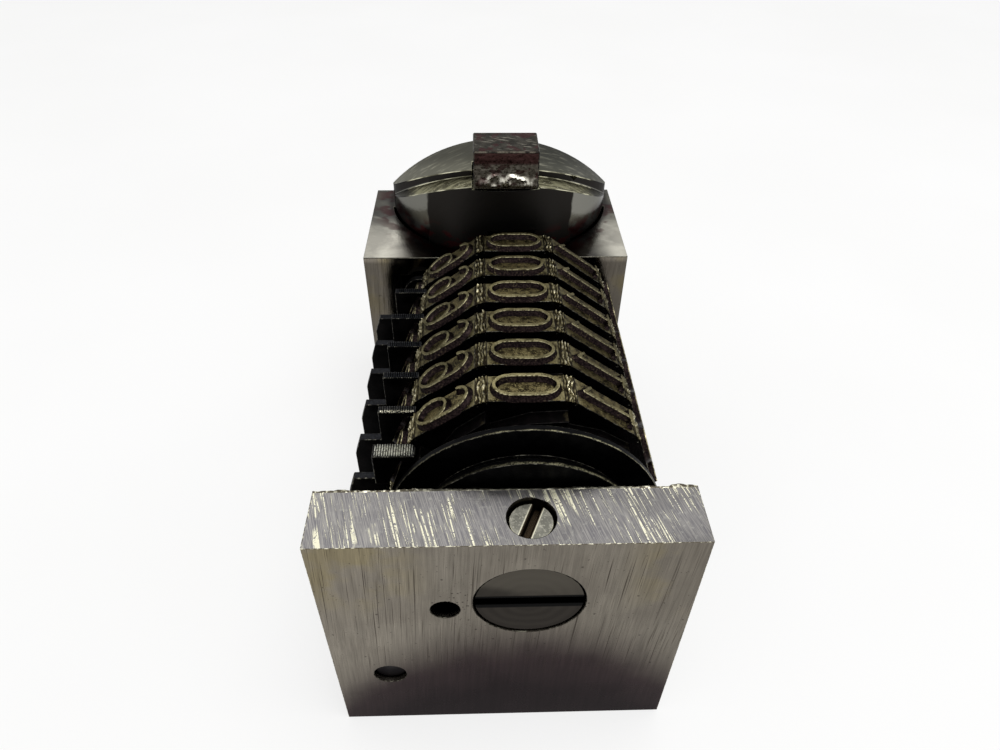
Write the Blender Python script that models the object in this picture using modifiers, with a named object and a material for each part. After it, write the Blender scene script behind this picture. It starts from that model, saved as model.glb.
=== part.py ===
"""A six-wheel letterpress numbering machine.

The machine locks up in a forme with its figures facing up. A bright steel case carries one wheel
shaft across an open bay. Six type wheels turn on that shaft between the two cheeks of a swing, and
six retaining pawls on a second shaft hold them. A spring-loaded plunger in the rear block is pressed
down at each impression. Its slot moves the drive pin of the swing, and the feed pawl that the swing
carries turns the wheels on by one figure.

X runs across the machine and Z up from the surface it stands on. Stations are distances along Y from
the front face, and the origin is the centre of the base.
"""

import math

import bmesh
import bpy
from mathutils import Matrix

OBJECT_NAME = "numbering_machine"

# Clearances
SEAT_GAP = 0.00010
RUNNING_GAP = 0.00005
SIDE_GAP = 0.00010
SWEEP_GAP = 0.00040
OVERRUN = 0.0010
OVERLAP = 0.00030

# Case
CASE_WIDTH = 0.0220
FRONT_WALL = 0.00385
FLOOR = 0.0022
REAR_WALL = 0.00335
BLOCK_FRONT_WALL = 0.00055
POCKET_FLOOR = 0.0028
SPARE_HOLE_RADIUS = 0.00087
SPARE_HOLE_OFFSET = 0.00493
SPARE_HOLE_DROP = 0.00065

# Wheels and the height of their printing faces
TYPE_HEIGHT = 0.02332
UNDER_WHEEL_ROOM = 0.00352
FIGURE_RISE = 0.0004
FIGURE_LENGTH = 0.0046
WHEEL_COUNT = 6
FACET_COUNT = 10
TYPE_WIDTH = 0.00228
RATCHET_WIDTH = 0.00099
CORNER_STRIP = 0.0008
NOTCH_DEPTH = 0.0002
RATCHET_STEP = 0.0004
RATCHET_DEPTH = 0.0010
DEEP_NOTCH = 0.0006
DEEP_TOOTH = 3
TOOTH_ROOT_SHARE = 0.9

# Wheel shaft, with its slotted head let into the front wall
SHAFT_X = 0.0013
SHAFT_RADIUS = 0.0022
SHAFT_TAIL_RADIUS = 0.0018
SHAFT_HEAD_RADIUS = 0.0032
SHAFT_HEAD_LENGTH = 0.0018
SHAFT_SLOT_WIDTH = 0.00066
SHAFT_SLOT_DEPTH = 0.0008
SHAFT_TAIL_SEAT = 0.0020

# Screw that locks the wheel shaft from above
LOCK_SCREW_RADIUS = 0.00128
LOCK_SCREW_SHANK_RADIUS = 0.0009
LOCK_SCREW_HEAD = 0.0010
LOCK_SCREW_LENGTH = 0.00183
LOCK_SCREW_RECESS = 0.00035
LOCK_SCREW_STATION = 0.0018
LOCK_SLOT_WIDTH = 0.00045
LOCK_SLOT_DEPTH = 0.0005
LOCK_SLOT_TURN = math.radians(68)

# Swing that carries the feed pawl: two cheeks, a bridge and a drive pin
RIM_WIDTH = 0.00045
REAR_RIM_STEP = 0.0001
FRONT_RIM_STEP = 0.0015
GROOVE_WIDTH = 0.0007
GROOVE_DEPTH = 0.0005
NECK_WIDTH = 0.00116
NECK_STEP = 0.0018
CHEEK_LUG = 0.0010
CHEEK_LUG_SETBACK = 0.00015
ARM_THICKNESS = 0.00057
ARM_HUB_RADIUS = 0.0034
DRIVE_PIN_RADIUS = 0.0008
DRIVE_PIN_SETBACK = 0.00411
DRIVE_PIN_ENGAGEMENT = 0.0010
BOSS_WALL = 0.00050
BRIDGE_RADIUS = 0.00090
BRIDGE_TENON_RADIUS = 0.00055
BRIDGE_ANGLE = math.radians(-113)
FEED_SHAFT_ANGLE = math.radians(-92)

# Feed pawl
FEED_SHAFT_RADIUS = 0.0006
FEED_EYE_WALL = 0.0005
FEED_WEB_THICKNESS = 0.0011
FEED_WEB_START = math.radians(7)
FEED_WEB_END = math.radians(22)
FEED_ROOT_END = math.radians(10.5)
FEED_NOSE_LEAD = math.radians(18.8)
FEED_NOSE_ROOT = math.radians(11)
FEED_NOSE_STEP = 0.00022
FEED_ARC_STEPS = 8
FEED_SPRING_WIRE = 0.00015
FEED_SPRING_TURNS = 3
FEED_SPRING_LENGTH = 0.0018
FEED_SPRING_PRELOAD_GAP = 0.00030

# Retaining pawls on their own shaft
NOSE_GAP = 0.00035
PAWL_THICKNESS = 0.0006
PAWL_PAD_DEPTH = 0.0005
PAWL_PAD_REACH = 0.00015
PAWL_SHAFT_REACH = 0.00373
PAWL_SHAFT_ANGLE = math.radians(223.26)
PAWL_SHAFT_RADIUS = 0.0010
PAWL_SHAFT_RECESS = 0.00035
PAWL_SHAFT_SEAT = 0.0030
PAWL_HUB_WALL = 0.00070
PAWL_LIP_ANGLE = math.radians(34.27)
PAWL_TAB_RISE = 0.00043
PAWL_TAB_WIDTH = 0.00245
PAWL_TAB_HEIGHT = 0.0025
PAWL_SHOULDER_WIDTH = 0.00145
PAWL_BACK_SWELL = 0.0004
PAWL_TAIL_WIDTH = 0.0016
PAWL_TAIL_REACH = 0.0027
PAWL_WAIST_RELIEF = 0.0012
PAWL_WAIST_START = math.radians(28)
PAWL_WAIST_END = math.radians(1)
PAWL_NOSE_TURN = math.radians(1.5)
PAWL_THROAT_RELIEF = 0.0006
PAWL_THROAT_START = math.radians(7)
PAWL_ARC_STEPS = 6

# Comb spring of the retaining pawls and its two screws
COMB_THICKNESS = 0.00030
COMB_FOOT = 0.0021
COMB_FINGER_WIDTH = 0.0009
COMB_FINGER_OVERLAP = 0.0009
COMB_PRELOAD_GAP = 0.00035
COMB_SCREW_HEAD_RADIUS = 0.0008
COMB_SCREW_HEAD = 0.0005
COMB_SCREW_RADIUS = 0.0005
COMB_SCREW_DEPTH = 0.0013

# Plunger, its type slug and its two springs
PLUNGER_TRAVEL = 0.0056
PLUNGER_X = 0.0005
PLUNGER_SIDE_WALL = 0.0008
PLUNGER_DEPTH = 0.0080
PLUNGER_FIT = 0.00015
PLUNGER_STAND = 0.00045
PLUNGER_LEDGE_ARCH = 0.0122
PLUNGER_LEDGE_WIDTH = 0.0020
PLUNGER_CROWN_RISE = 0.0005
PLUNGER_CROWN_ARCH = 0.0132
PLUNGER_CROWN_PLAN_RADIUS = 0.0110
PLUNGER_FOOT_GAP = 0.0009
SLUG_WIDTH = 0.0051
SLUG_LENGTH = 0.00375
SLUG_OFFSET_X = 0.00025
SLUG_SEAT_DEPTH = 0.00045
PLUNGER_SPRING_RADIUS = 0.0014
PLUNGER_SPRING_WIRE = 0.00025
PLUNGER_SPRING_TURNS = 7
PLUNGER_SPRING_OFFSET = 0.0052
PLUNGER_SPRING_STATION = 0.0025
SPRING_BORE_GAP = 0.00020
SPRING_BORE_DEPTH = 0.0050

# Fineness of round shapes
ROUND_STEPS = 48
SMALL_ROUND_STEPS = 24
RIM_STEPS = 72
ARCH_STEPS = 144
BOSS_STEPS = 10
COIL_POINTS = 9

# Places worked out from the sizes above. The wheels fill the height that type leaves over the feed pawl
FIGURE_APOTHEM = (TYPE_HEIGHT - FLOOR - UNDER_WHEEL_ROOM) / 2
SHAFT_Z = TYPE_HEIGHT - FIGURE_APOTHEM
LOCK_SCREW_TOP = SHAFT_Z + SHAFT_HEAD_RADIUS + 2 * SEAT_GAP + LOCK_SCREW_LENGTH
CASE_HEIGHT = LOCK_SCREW_TOP + LOCK_SCREW_RECESS
SPARE_HOLE_X = SHAFT_X - SPARE_HOLE_OFFSET
SPARE_HOLE_Z = SHAFT_Z - SPARE_HOLE_DROP
LAND_APOTHEM = FIGURE_APOTHEM - FIGURE_RISE
WHEEL_SWEEP = math.hypot(FIGURE_APOTHEM, FIGURE_LENGTH / 2)
WHEEL_PITCH = TYPE_WIDTH + RATCHET_WIDTH + SIDE_GAP
RATCHET_TIP_RADIUS = LAND_APOTHEM - RATCHET_STEP
NOSE_RADIUS = RATCHET_TIP_RADIUS + NOSE_GAP
FACET_ANGLE = math.tau / FACET_COUNT
REAR_RIM_RADIUS = FIGURE_APOTHEM - REAR_RIM_STEP
FRONT_RIM_RADIUS = REAR_RIM_RADIUS - FRONT_RIM_STEP
GROOVE_RADIUS = FRONT_RIM_RADIUS - GROOVE_DEPTH
NECK_RADIUS = REAR_RIM_RADIUS - NECK_STEP

FRONT_RIM_STATION = FRONT_WALL + SWEEP_GAP
REAR_RIM_STATION = FRONT_RIM_STATION + RIM_WIDTH + GROOVE_WIDTH
NECK_END = REAR_RIM_STATION + RIM_WIDTH + NECK_WIDTH
WHEELS_START = NECK_END + SIDE_GAP
WHEELS_END = WHEELS_START + WHEEL_COUNT * WHEEL_PITCH - SIDE_GAP
ARM_STATION = WHEELS_END + SWEEP_GAP
BLOCK_STATION = ARM_STATION + ARM_THICKNESS + SWEEP_GAP
PLUNGER_FRONT = BLOCK_STATION + BLOCK_FRONT_WALL + PLUNGER_FIT
PLUNGER_BACK = PLUNGER_FRONT + PLUNGER_DEPTH
POCKET_BACK = PLUNGER_BACK + PLUNGER_FIT
CASE_LENGTH = POCKET_BACK + REAR_WALL

FEED_EYE_RADIUS = FEED_SHAFT_RADIUS + FEED_EYE_WALL
FEED_SHAFT_DISTANCE = WHEEL_SWEEP + SWEEP_GAP + FEED_EYE_RADIUS
BRIDGE_DISTANCE = WHEEL_SWEEP + SWEEP_GAP + BRIDGE_RADIUS
DRIVE_PIN_DISTANCE = CASE_WIDTH / 2 + SHAFT_X - DRIVE_PIN_SETBACK
SWING_ANGLE = 2 * math.asin(PLUNGER_TRAVEL / (2 * DRIVE_PIN_DISTANCE))
DRIVE_PIN_ANGLE = math.pi - SWING_ANGLE / 2
DRIVE_PIN_Z = SHAFT_Z + DRIVE_PIN_DISTANCE * math.sin(DRIVE_PIN_ANGLE)
DRIVE_PIN_X = SHAFT_X + DRIVE_PIN_DISTANCE * math.cos(DRIVE_PIN_ANGLE)
DRIVE_PIN_FAR_X = SHAFT_X - DRIVE_PIN_DISTANCE

PAWL_HUB_RADIUS = PAWL_SHAFT_RADIUS + PAWL_HUB_WALL
PAWL_SHAFT_X = SHAFT_X + (NOSE_RADIUS + PAWL_SHAFT_REACH) * math.cos(PAWL_SHAFT_ANGLE)
PAWL_SHAFT_Z = SHAFT_Z + (NOSE_RADIUS + PAWL_SHAFT_REACH) * math.sin(PAWL_SHAFT_ANGLE)
PAWL_LIP_Z = SHAFT_Z + NOSE_RADIUS * math.sin(PAWL_LIP_ANGLE)
PAWL_TAB_RIGHT_X = SHAFT_X - NOSE_RADIUS * math.cos(PAWL_LIP_ANGLE)
PAWL_TAB_LEFT_X = PAWL_TAB_RIGHT_X - PAWL_TAB_WIDTH
PAWL_TAB_TOP_Z = PAWL_LIP_Z + PAWL_TAB_RISE
PAWL_SHOULDER_X = PAWL_TAB_LEFT_X - PAWL_SHOULDER_WIDTH
PAWL_SHOULDER_Z = PAWL_TAB_TOP_Z - PAWL_TAB_HEIGHT
PAWL_OUTER_X = PAWL_SHOULDER_X - PAWL_BACK_SWELL

PLUNGER_RADIUS = CASE_WIDTH / 2 - PLUNGER_X - PLUNGER_SIDE_WALL
PLUNGER_CENTRE = PLUNGER_FRONT + PLUNGER_RADIUS
PLUNGER_FOOT = POCKET_FLOOR + PLUNGER_TRAVEL + PLUNGER_FOOT_GAP
PLUNGER_LEDGE_TOP = CASE_HEIGHT + PLUNGER_TRAVEL + PLUNGER_STAND
SLUG_TOP = TYPE_HEIGHT + PLUNGER_TRAVEL
SLUG_SEAT = PLUNGER_LEDGE_TOP - SLUG_SEAT_DEPTH
SPRING_STATION = PLUNGER_BACK - PLUNGER_SPRING_STATION

# Local Z of a lying piece runs rearwards, and its local Y runs down
LYING = Matrix.Rotation(math.radians(-90), 4, "X")


def clear_scene():
    for item in list(bpy.data.objects):
        bpy.data.objects.remove(item, do_unlink=True)


def new_collection(name):
    collection = bpy.data.collections.new(name)
    bpy.context.scene.collection.children.link(collection)
    return collection


def new_material(name, colour, roughness, metallic):
    material = bpy.data.materials.new(name)
    material.use_nodes = True
    shader = material.node_tree.nodes["Principled BSDF"]
    shader.inputs["Base Color"].default_value = (*colour, 1)
    shader.inputs["Roughness"].default_value = roughness
    shader.inputs["Metallic"].default_value = metallic
    material.diffuse_color = (*colour, 1)
    return material


def world(x, station, z):
    """The place of a point given by its station along the machine."""
    return (x, station - CASE_LENGTH / 2, z)


def place_object(name, data, collection, location, lying):
    item = bpy.data.objects.new(name, data)
    item.matrix_world = Matrix.Translation(location) @ (LYING if lying else Matrix.Identity(4))
    collection.objects.link(item)
    return item


def polar(radius, angle):
    return (radius * math.cos(angle), radius * math.sin(angle))


def arc(centre, radius, start, end, steps):
    """Points along an arc, both ends included."""
    points = []
    for index in range(steps + 1):
        x, z = polar(radius, start + (end - start) * index / steps)
        points.append((centre[0] + x, centre[1] + z))
    return points


def shifted(points, origin):
    return [(x - origin[0], z - origin[1]) for x, z in points]


def prism(name, outline, depth, collection, location, lying=True):
    """A flat outline made solid: drawn in X and Z where it lies, and otherwise in X and Y."""
    curve = bpy.data.curves.new(name, "CURVE")
    curve.dimensions = "2D"
    curve.fill_mode = "BOTH"
    curve.extrude = depth / 2
    spline = curve.splines.new("POLY")
    spline.points.add(len(outline) - 1)
    for point, (across, up) in zip(spline.points, outline):
        point.co = (across, -up if lying else up, 0, 1)
    spline.use_cyclic_u = True
    drawn = place_object(name, curve, collection, location, lying)
    return as_mesh(drawn, collection)


def as_mesh(drawn, collection):
    """A mesh object in the place of a curve object, with its caps welded on."""
    bpy.context.view_layer.update()
    evaluated = drawn.evaluated_get(bpy.context.evaluated_depsgraph_get())
    mesh = bpy.data.meshes.new_from_object(evaluated)
    name = drawn.name
    place = drawn.matrix_world.copy()
    curve = drawn.data
    bpy.data.objects.remove(drawn, do_unlink=True)
    bpy.data.curves.remove(curve)
    shape = bmesh.new()
    shape.from_mesh(mesh)
    bmesh.ops.remove_doubles(shape, verts=shape.verts, dist=RUNNING_GAP / 10)
    bmesh.ops.recalc_face_normals(shape, faces=shape.faces)
    shape.to_mesh(mesh)
    shape.free()
    result = bpy.data.objects.new(name, mesh)
    result.matrix_world = place
    collection.objects.link(result)
    return result


def turned(name, profile, collection, location, lying=True, steps=ROUND_STEPS, bored=False):
    """A profile of radius and height, listed down its outer side, turned about its local Z."""
    mesh = bpy.data.meshes.new(name)
    edges = [(index, index + 1) for index in range(len(profile) - 1)]
    if bored:
        edges.append((len(profile) - 1, 0))
    mesh.from_pydata([(radius, 0, height) for radius, height in profile], edges, [])
    item = place_object(name, mesh, collection, location, lying)
    screw = item.modifiers.new("turn", "SCREW")
    screw.axis = "Z"
    screw.angle = math.tau
    screw.steps = steps
    screw.render_steps = steps
    screw.use_merge_vertices = True
    screw.merge_threshold = RUNNING_GAP / 10
    screw.use_smooth_shade = True
    return item


def box(name, low, high, collection):
    """A box between two corners, each given as x, station and z."""
    size = [high[axis] - low[axis] for axis in range(3)]
    centre = [(high[axis] + low[axis]) / 2 for axis in range(3)]
    mesh = bpy.data.meshes.new(name)
    shape = bmesh.new()
    bmesh.ops.create_cube(shape, size=1)
    bmesh.ops.scale(shape, vec=size, verts=shape.verts)
    shape.to_mesh(mesh)
    shape.free()
    return place_object(name, mesh, collection, world(*centre), False)


def rod_profile(radius, start, end):
    """The profile of a plain rod between two heights."""
    return [(0, end), (radius, end), (radius, start), (0, start)]


def stepped_profile(steps):
    """The profile of a stepped rod, from (radius, start, end) entries listed from its top down."""
    profile = [(0, steps[0][2])]
    for radius, start, end in steps:
        profile.append((radius, end))
        profile.append((radius, start))
    profile.append((0, steps[-1][1]))
    return profile


def sleeve_profile(outer, inner, start, end):
    return [(outer, end), (outer, start), (inner, start), (inner, end)]


def combine(target, other, operation):
    other.hide_render = True
    other.display_type = "WIRE"
    modifier = target.modifiers.new(other.name, "BOOLEAN")
    modifier.operation = operation
    modifier.solver = "EXACT"
    modifier.object = other


def cut(target, cutter):
    combine(target, cutter, "DIFFERENCE")


def fuse(target, other):
    combine(target, other, "UNION")


def keep_inside(target, other):
    combine(target, other, "INTERSECT")


def finish(item, material):
    item.data.materials.clear()
    item.data.materials.append(material)


def half_round_plan(radius, front, back, steps=ROUND_STEPS):
    """The plan of the plunger: round towards the wheels and flat at the back."""
    centre = (PLUNGER_X, PLUNGER_CENTRE)
    reach = math.asin((PLUNGER_CENTRE - back) / radius)
    outline = arc(centre, radius, math.pi + reach, math.tau - reach, steps)
    return [(x, max(y, front) - CASE_LENGTH / 2) for x, y in outline]


def make_case(parts, cutters, material):
    half = CASE_WIDTH / 2
    case = box("case", (-half, 0, 0), (half, CASE_LENGTH, CASE_HEIGHT), parts)
    bay = box("cut_bay", (-half - OVERRUN, FRONT_WALL, FLOOR),
              (half + OVERRUN, BLOCK_STATION, CASE_HEIGHT + OVERRUN), cutters)
    cut(case, bay)
    pocket_height = CASE_HEIGHT + OVERRUN - POCKET_FLOOR
    plan = half_round_plan(PLUNGER_RADIUS + PLUNGER_FIT, PLUNGER_FRONT - PLUNGER_FIT, POCKET_BACK)
    pocket = prism("cut_pocket", plan, pocket_height, cutters,
                   (0, 0, POCKET_FLOOR + pocket_height / 2), lying=False)
    cut(case, pocket)
    cut_shaft_bores(case, cutters)
    cut_pawl_shaft_bores(case, cutters)
    cut_drive_window(case, cutters)
    cut_screw_holes(case, cutters)
    finish(case, material)


def cut_shaft_bores(case, cutters):
    head = SHAFT_HEAD_RADIUS + SEAT_GAP
    shank = SHAFT_RADIUS + RUNNING_GAP
    front = stepped_profile([
        (shank, SHAFT_HEAD_LENGTH + 2 * SEAT_GAP, FRONT_WALL + OVERRUN),
        (head, -OVERRUN, SHAFT_HEAD_LENGTH + 2 * SEAT_GAP),
    ])
    cut(case, turned("cut_shaft_front", front, cutters, world(SHAFT_X, 0, SHAFT_Z)))
    rear = rod_profile(SHAFT_TAIL_RADIUS + RUNNING_GAP, BLOCK_STATION - OVERRUN,
                       POCKET_BACK + SHAFT_TAIL_SEAT + SEAT_GAP)
    cut(case, turned("cut_shaft_rear", rear, cutters, world(SHAFT_X, 0, SHAFT_Z)))
    spare = rod_profile(SPARE_HOLE_RADIUS, -OVERRUN, FRONT_WALL + OVERRUN)
    cut(case, turned("cut_spare_hole", spare, cutters, world(SPARE_HOLE_X, 0, SPARE_HOLE_Z),
                     steps=SMALL_ROUND_STEPS))


def cut_pawl_shaft_bores(case, cutters):
    bores = {
        "cut_pawl_shaft_front": (-OVERRUN, FRONT_WALL + OVERRUN),
        "cut_pawl_shaft_rear": (BLOCK_STATION - OVERRUN, BLOCK_STATION + PAWL_SHAFT_SEAT + SEAT_GAP),
    }
    for name, (start, end) in bores.items():
        profile = rod_profile(PAWL_SHAFT_RADIUS + RUNNING_GAP, start, end)
        cut(case, turned(name, profile, cutters, world(PAWL_SHAFT_X, 0, PAWL_SHAFT_Z),
                         steps=SMALL_ROUND_STEPS))


def cut_drive_window(case, cutters):
    """The window in the block that the drive pin passes through, over its whole stroke."""
    room = DRIVE_PIN_RADIUS + 2 * PLUNGER_FIT
    window = box("cut_drive_window",
                 (DRIVE_PIN_FAR_X - room, BLOCK_STATION - OVERRUN, DRIVE_PIN_Z - PLUNGER_TRAVEL - room),
                 (DRIVE_PIN_X + room, PLUNGER_CENTRE, DRIVE_PIN_Z + room), cutters)
    cut(case, window)


def cut_screw_holes(case, cutters):
    head_floor = LOCK_SCREW_TOP - LOCK_SCREW_HEAD
    lock = stepped_profile([
        (LOCK_SCREW_RADIUS + SEAT_GAP, head_floor - SEAT_GAP, CASE_HEIGHT + OVERRUN),
        (LOCK_SCREW_SHANK_RADIUS + SEAT_GAP, SHAFT_Z + SHAFT_HEAD_RADIUS / 2, head_floor - SEAT_GAP),
    ])
    cut(case, turned("cut_lock_screw", lock, cutters, world(SHAFT_X, LOCK_SCREW_STATION, 0),
                     lying=False, steps=SMALL_ROUND_STEPS))
    for number, station in enumerate(comb_screw_stations(), start=1):
        hole = rod_profile(COMB_SCREW_RADIUS + SEAT_GAP, FLOOR - COMB_SCREW_DEPTH - SEAT_GAP,
                           FLOOR + OVERRUN)
        cut(case, turned(f"cut_comb_screw_{number}", hole, cutters, world(comb_screw_x(), station, 0),
                         lying=False, steps=SMALL_ROUND_STEPS))


def make_wheel_shaft(parts, cutters, material):
    steps = [
        (SHAFT_TAIL_RADIUS, WHEELS_END + SEAT_GAP, POCKET_BACK + SHAFT_TAIL_SEAT),
        (SHAFT_RADIUS, SEAT_GAP + SHAFT_HEAD_LENGTH, WHEELS_END + SEAT_GAP),
        (SHAFT_HEAD_RADIUS, SEAT_GAP, SEAT_GAP + SHAFT_HEAD_LENGTH),
    ]
    shaft = turned("wheel_shaft", stepped_profile(steps), parts, world(SHAFT_X, 0, SHAFT_Z))
    half_slot = SHAFT_SLOT_WIDTH / 2
    slot = box("cut_shaft_slot",
               (SHAFT_X - SHAFT_HEAD_RADIUS - OVERRUN, -OVERRUN, SHAFT_Z - half_slot),
               (SHAFT_X + SHAFT_HEAD_RADIUS + OVERRUN, SEAT_GAP + SHAFT_SLOT_DEPTH, SHAFT_Z + half_slot),
               cutters)
    cut(shaft, slot)
    finish(shaft, material)


def make_lock_screw(parts, cutters, material):
    top = LOCK_SCREW_TOP
    steps = [
        (LOCK_SCREW_RADIUS, top - LOCK_SCREW_HEAD, top),
        (LOCK_SCREW_SHANK_RADIUS, SHAFT_Z + SHAFT_HEAD_RADIUS + 2 * SEAT_GAP, top - LOCK_SCREW_HEAD),
    ]
    screw = turned("shaft_lock_screw", stepped_profile(steps), parts,
                   world(SHAFT_X, LOCK_SCREW_STATION, 0), lying=False, steps=SMALL_ROUND_STEPS)
    reach = LOCK_SCREW_RADIUS + OVERRUN
    slot = box("cut_lock_slot", (-reach, CASE_LENGTH / 2 - LOCK_SLOT_WIDTH / 2, -LOCK_SLOT_DEPTH),
               (reach, CASE_LENGTH / 2 + LOCK_SLOT_WIDTH / 2, OVERRUN), cutters)
    middle = Matrix.Translation(slot.matrix_world.translation)
    slot.matrix_world = (Matrix.Translation(world(SHAFT_X, LOCK_SCREW_STATION, top))
                         @ Matrix.Rotation(LOCK_SLOT_TURN, 4, "Z") @ middle)
    cut(screw, slot)
    finish(screw, material)


def type_outline():
    """The land outline of a type wheel: ten flats, and a notched strip across each corner."""
    half_flat = LAND_APOTHEM * math.tan(FACET_ANGLE / 2)
    strip_reach = CORNER_STRIP / 2 / math.cos(FACET_ANGLE / 2)
    land_end = half_flat - strip_reach
    strip_apothem = LAND_APOTHEM * math.cos(FACET_ANGLE / 2) + land_end * math.sin(FACET_ANGLE / 2)
    notch_shares = (-0.5, -0.36, -0.22, 0.22, 0.36, 0.5)
    outline = []
    for facet in range(FACET_COUNT):
        corner = math.pi / 2 + FACET_ANGLE * (facet + 1 / 2)
        for position, share in enumerate(notch_shares):
            sunk = NOTCH_DEPTH if position in (1, 4) else 0
            across = share * CORNER_STRIP
            x, z = polar(strip_apothem - sunk, corner)
            outline.append((x - across * math.sin(corner), z + across * math.cos(corner)))
    return outline


def ratchet_outline():
    """Ten saw teeth whose steep sides face clockwise, with one deep notch at the last figure."""
    outline = []
    for tooth in range(FACET_COUNT):
        start = math.pi / 2 + FACET_ANGLE * (tooth + 1 / 2)
        root = RATCHET_TIP_RADIUS - RATCHET_DEPTH
        if tooth == DEEP_TOOTH:
            root -= DEEP_NOTCH
        next_root = start + FACET_ANGLE * TOOTH_ROOT_SHARE
        outline.append(polar(RATCHET_TIP_RADIUS, start))
        outline.append(polar((RATCHET_TIP_RADIUS + root) / 2, (start + next_root) / 2))
        outline.append(polar(root, next_root))
        outline.append(polar(root, start + FACET_ANGLE))
    return outline


def make_type_wheels(parts, cutters, material):
    """Six wheels of one shape. Each has its ratchet at the front and its type ring behind it."""
    wheel = prism("type_wheel_master", type_outline(), TYPE_WIDTH, cutters,
                  world(0, CASE_LENGTH / 2 + RATCHET_WIDTH + TYPE_WIDTH / 2, 0))
    teeth = prism("wheel_ratchet", ratchet_outline(), RATCHET_WIDTH + OVERLAP, cutters,
                  world(0, CASE_LENGTH / 2 + (RATCHET_WIDTH + OVERLAP) / 2, 0))
    fuse(wheel, teeth)
    bore = rod_profile(SHAFT_RADIUS + RUNNING_GAP, -OVERRUN, WHEEL_PITCH + OVERRUN)
    cut(wheel, turned("cut_wheel_bore", bore, cutters, world(0, CASE_LENGTH / 2, 0),
                      steps=SMALL_ROUND_STEPS))
    bpy.context.view_layer.update()
    evaluated = wheel.evaluated_get(bpy.context.evaluated_depsgraph_get())
    mesh = bpy.data.meshes.new_from_object(evaluated)
    mesh.transform(wheel.matrix_world)
    mesh.name = "type_wheel"
    wheel.hide_render = True
    wheel.display_type = "WIRE"
    for number in range(WHEEL_COUNT):
        place = world(SHAFT_X, WHEELS_START + number * WHEEL_PITCH, SHAFT_Z)
        finish(place_object(f"type_wheel_{number + 1}", mesh, parts, place, False), material)


def link_tangents(hub_radius, distance, radius):
    """Where the straight flanks of a tapered link start: the hub's angle, and the boss's own edge."""
    tangent = math.acos((hub_radius - radius) / distance)
    edge = math.atan2(radius * math.sin(tangent), distance + radius * math.cos(tangent))
    return tangent, edge


def link_reach(angle, hub_radius, distance, radius, boss_angle):
    """How far a tapered link, round a hub at the centre and a boss, reaches in one direction."""
    turn = abs(math.remainder(angle - boss_angle, math.tau))
    tangent, edge = link_tangents(hub_radius, distance, radius)
    if turn <= edge:
        root = radius ** 2 - (distance * math.sin(turn)) ** 2
        return distance * math.cos(turn) + math.sqrt(max(root, 0))
    if turn < tangent:
        return hub_radius / math.cos(tangent - turn)
    return hub_radius


def crank_outline(hub_radius, bosses):
    """The outline of tapered links that share one hub, with bosses given as in link_reach."""
    angles = [math.tau * (index + 1 / 2) / ROUND_STEPS for index in range(ROUND_STEPS)]
    for distance, radius, boss_angle in bosses:
        tangent, edge = link_tangents(hub_radius, distance, radius)
        for index in range(BOSS_STEPS + 1):
            swing = tangent * (2 * index / BOSS_STEPS - 1)
            turn = math.atan2(radius * math.sin(swing), distance + radius * math.cos(swing))
            angles.append((boss_angle + turn) % math.tau)
    outline = []
    for angle in sorted(angles):
        reach = max(link_reach(angle, hub_radius, *boss) for boss in bosses)
        outline.append(polar(reach, angle))
    return outline


def swing_bosses():
    bridge = (BRIDGE_DISTANCE, BRIDGE_TENON_RADIUS + BOSS_WALL, BRIDGE_ANGLE)
    feed = (FEED_SHAFT_DISTANCE, FEED_SHAFT_RADIUS + BOSS_WALL, FEED_SHAFT_ANGLE)
    return [bridge, feed]


def swing_point(distance, angle):
    x, z = polar(distance, angle)
    return (SHAFT_X + x, SHAFT_Z + z)


def make_front_cheek(parts, cutters, material):
    """The turned front cheek: two thin rims with a groove between them, a neck and a lug."""
    steps = [
        (NECK_RADIUS, REAR_RIM_STATION + RIM_WIDTH, NECK_END),
        (REAR_RIM_RADIUS, REAR_RIM_STATION, REAR_RIM_STATION + RIM_WIDTH),
        (GROOVE_RADIUS, FRONT_RIM_STATION + RIM_WIDTH, REAR_RIM_STATION),
        (FRONT_RIM_RADIUS, FRONT_RIM_STATION, FRONT_RIM_STATION + RIM_WIDTH),
    ]
    cheek = turned("swing_front_cheek", stepped_profile(steps), parts, world(SHAFT_X, 0, SHAFT_Z),
                   steps=RIM_STEPS)
    lug = prism("cheek_lug", crank_outline(GROOVE_RADIUS - OVERLAP, swing_bosses()), CHEEK_LUG, cutters,
                world(SHAFT_X, lug_station() + CHEEK_LUG / 2, SHAFT_Z))
    fuse(cheek, lug)
    bore_swing_part(cheek, cutters, "cheek", FRONT_WALL, WHEELS_START, SHAFT_RADIUS)
    finish(cheek, material)


def lug_station():
    return REAR_RIM_STATION + CHEEK_LUG_SETBACK


def bore_swing_part(item, cutters, label, start, end, shaft_radius):
    holes = {
        "shaft": (SHAFT_X, SHAFT_Z, shaft_radius),
        "bridge": (*swing_point(BRIDGE_DISTANCE, BRIDGE_ANGLE), BRIDGE_TENON_RADIUS),
        "feed": (*swing_point(FEED_SHAFT_DISTANCE, FEED_SHAFT_ANGLE), FEED_SHAFT_RADIUS),
    }
    for name, (x, z, radius) in holes.items():
        steps = ROUND_STEPS if name == "shaft" else SMALL_ROUND_STEPS
        cut(item, turned(f"cut_{label}_{name}", rod_profile(radius + RUNNING_GAP, start, end), cutters,
                         world(x, 0, z), steps=steps))


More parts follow.
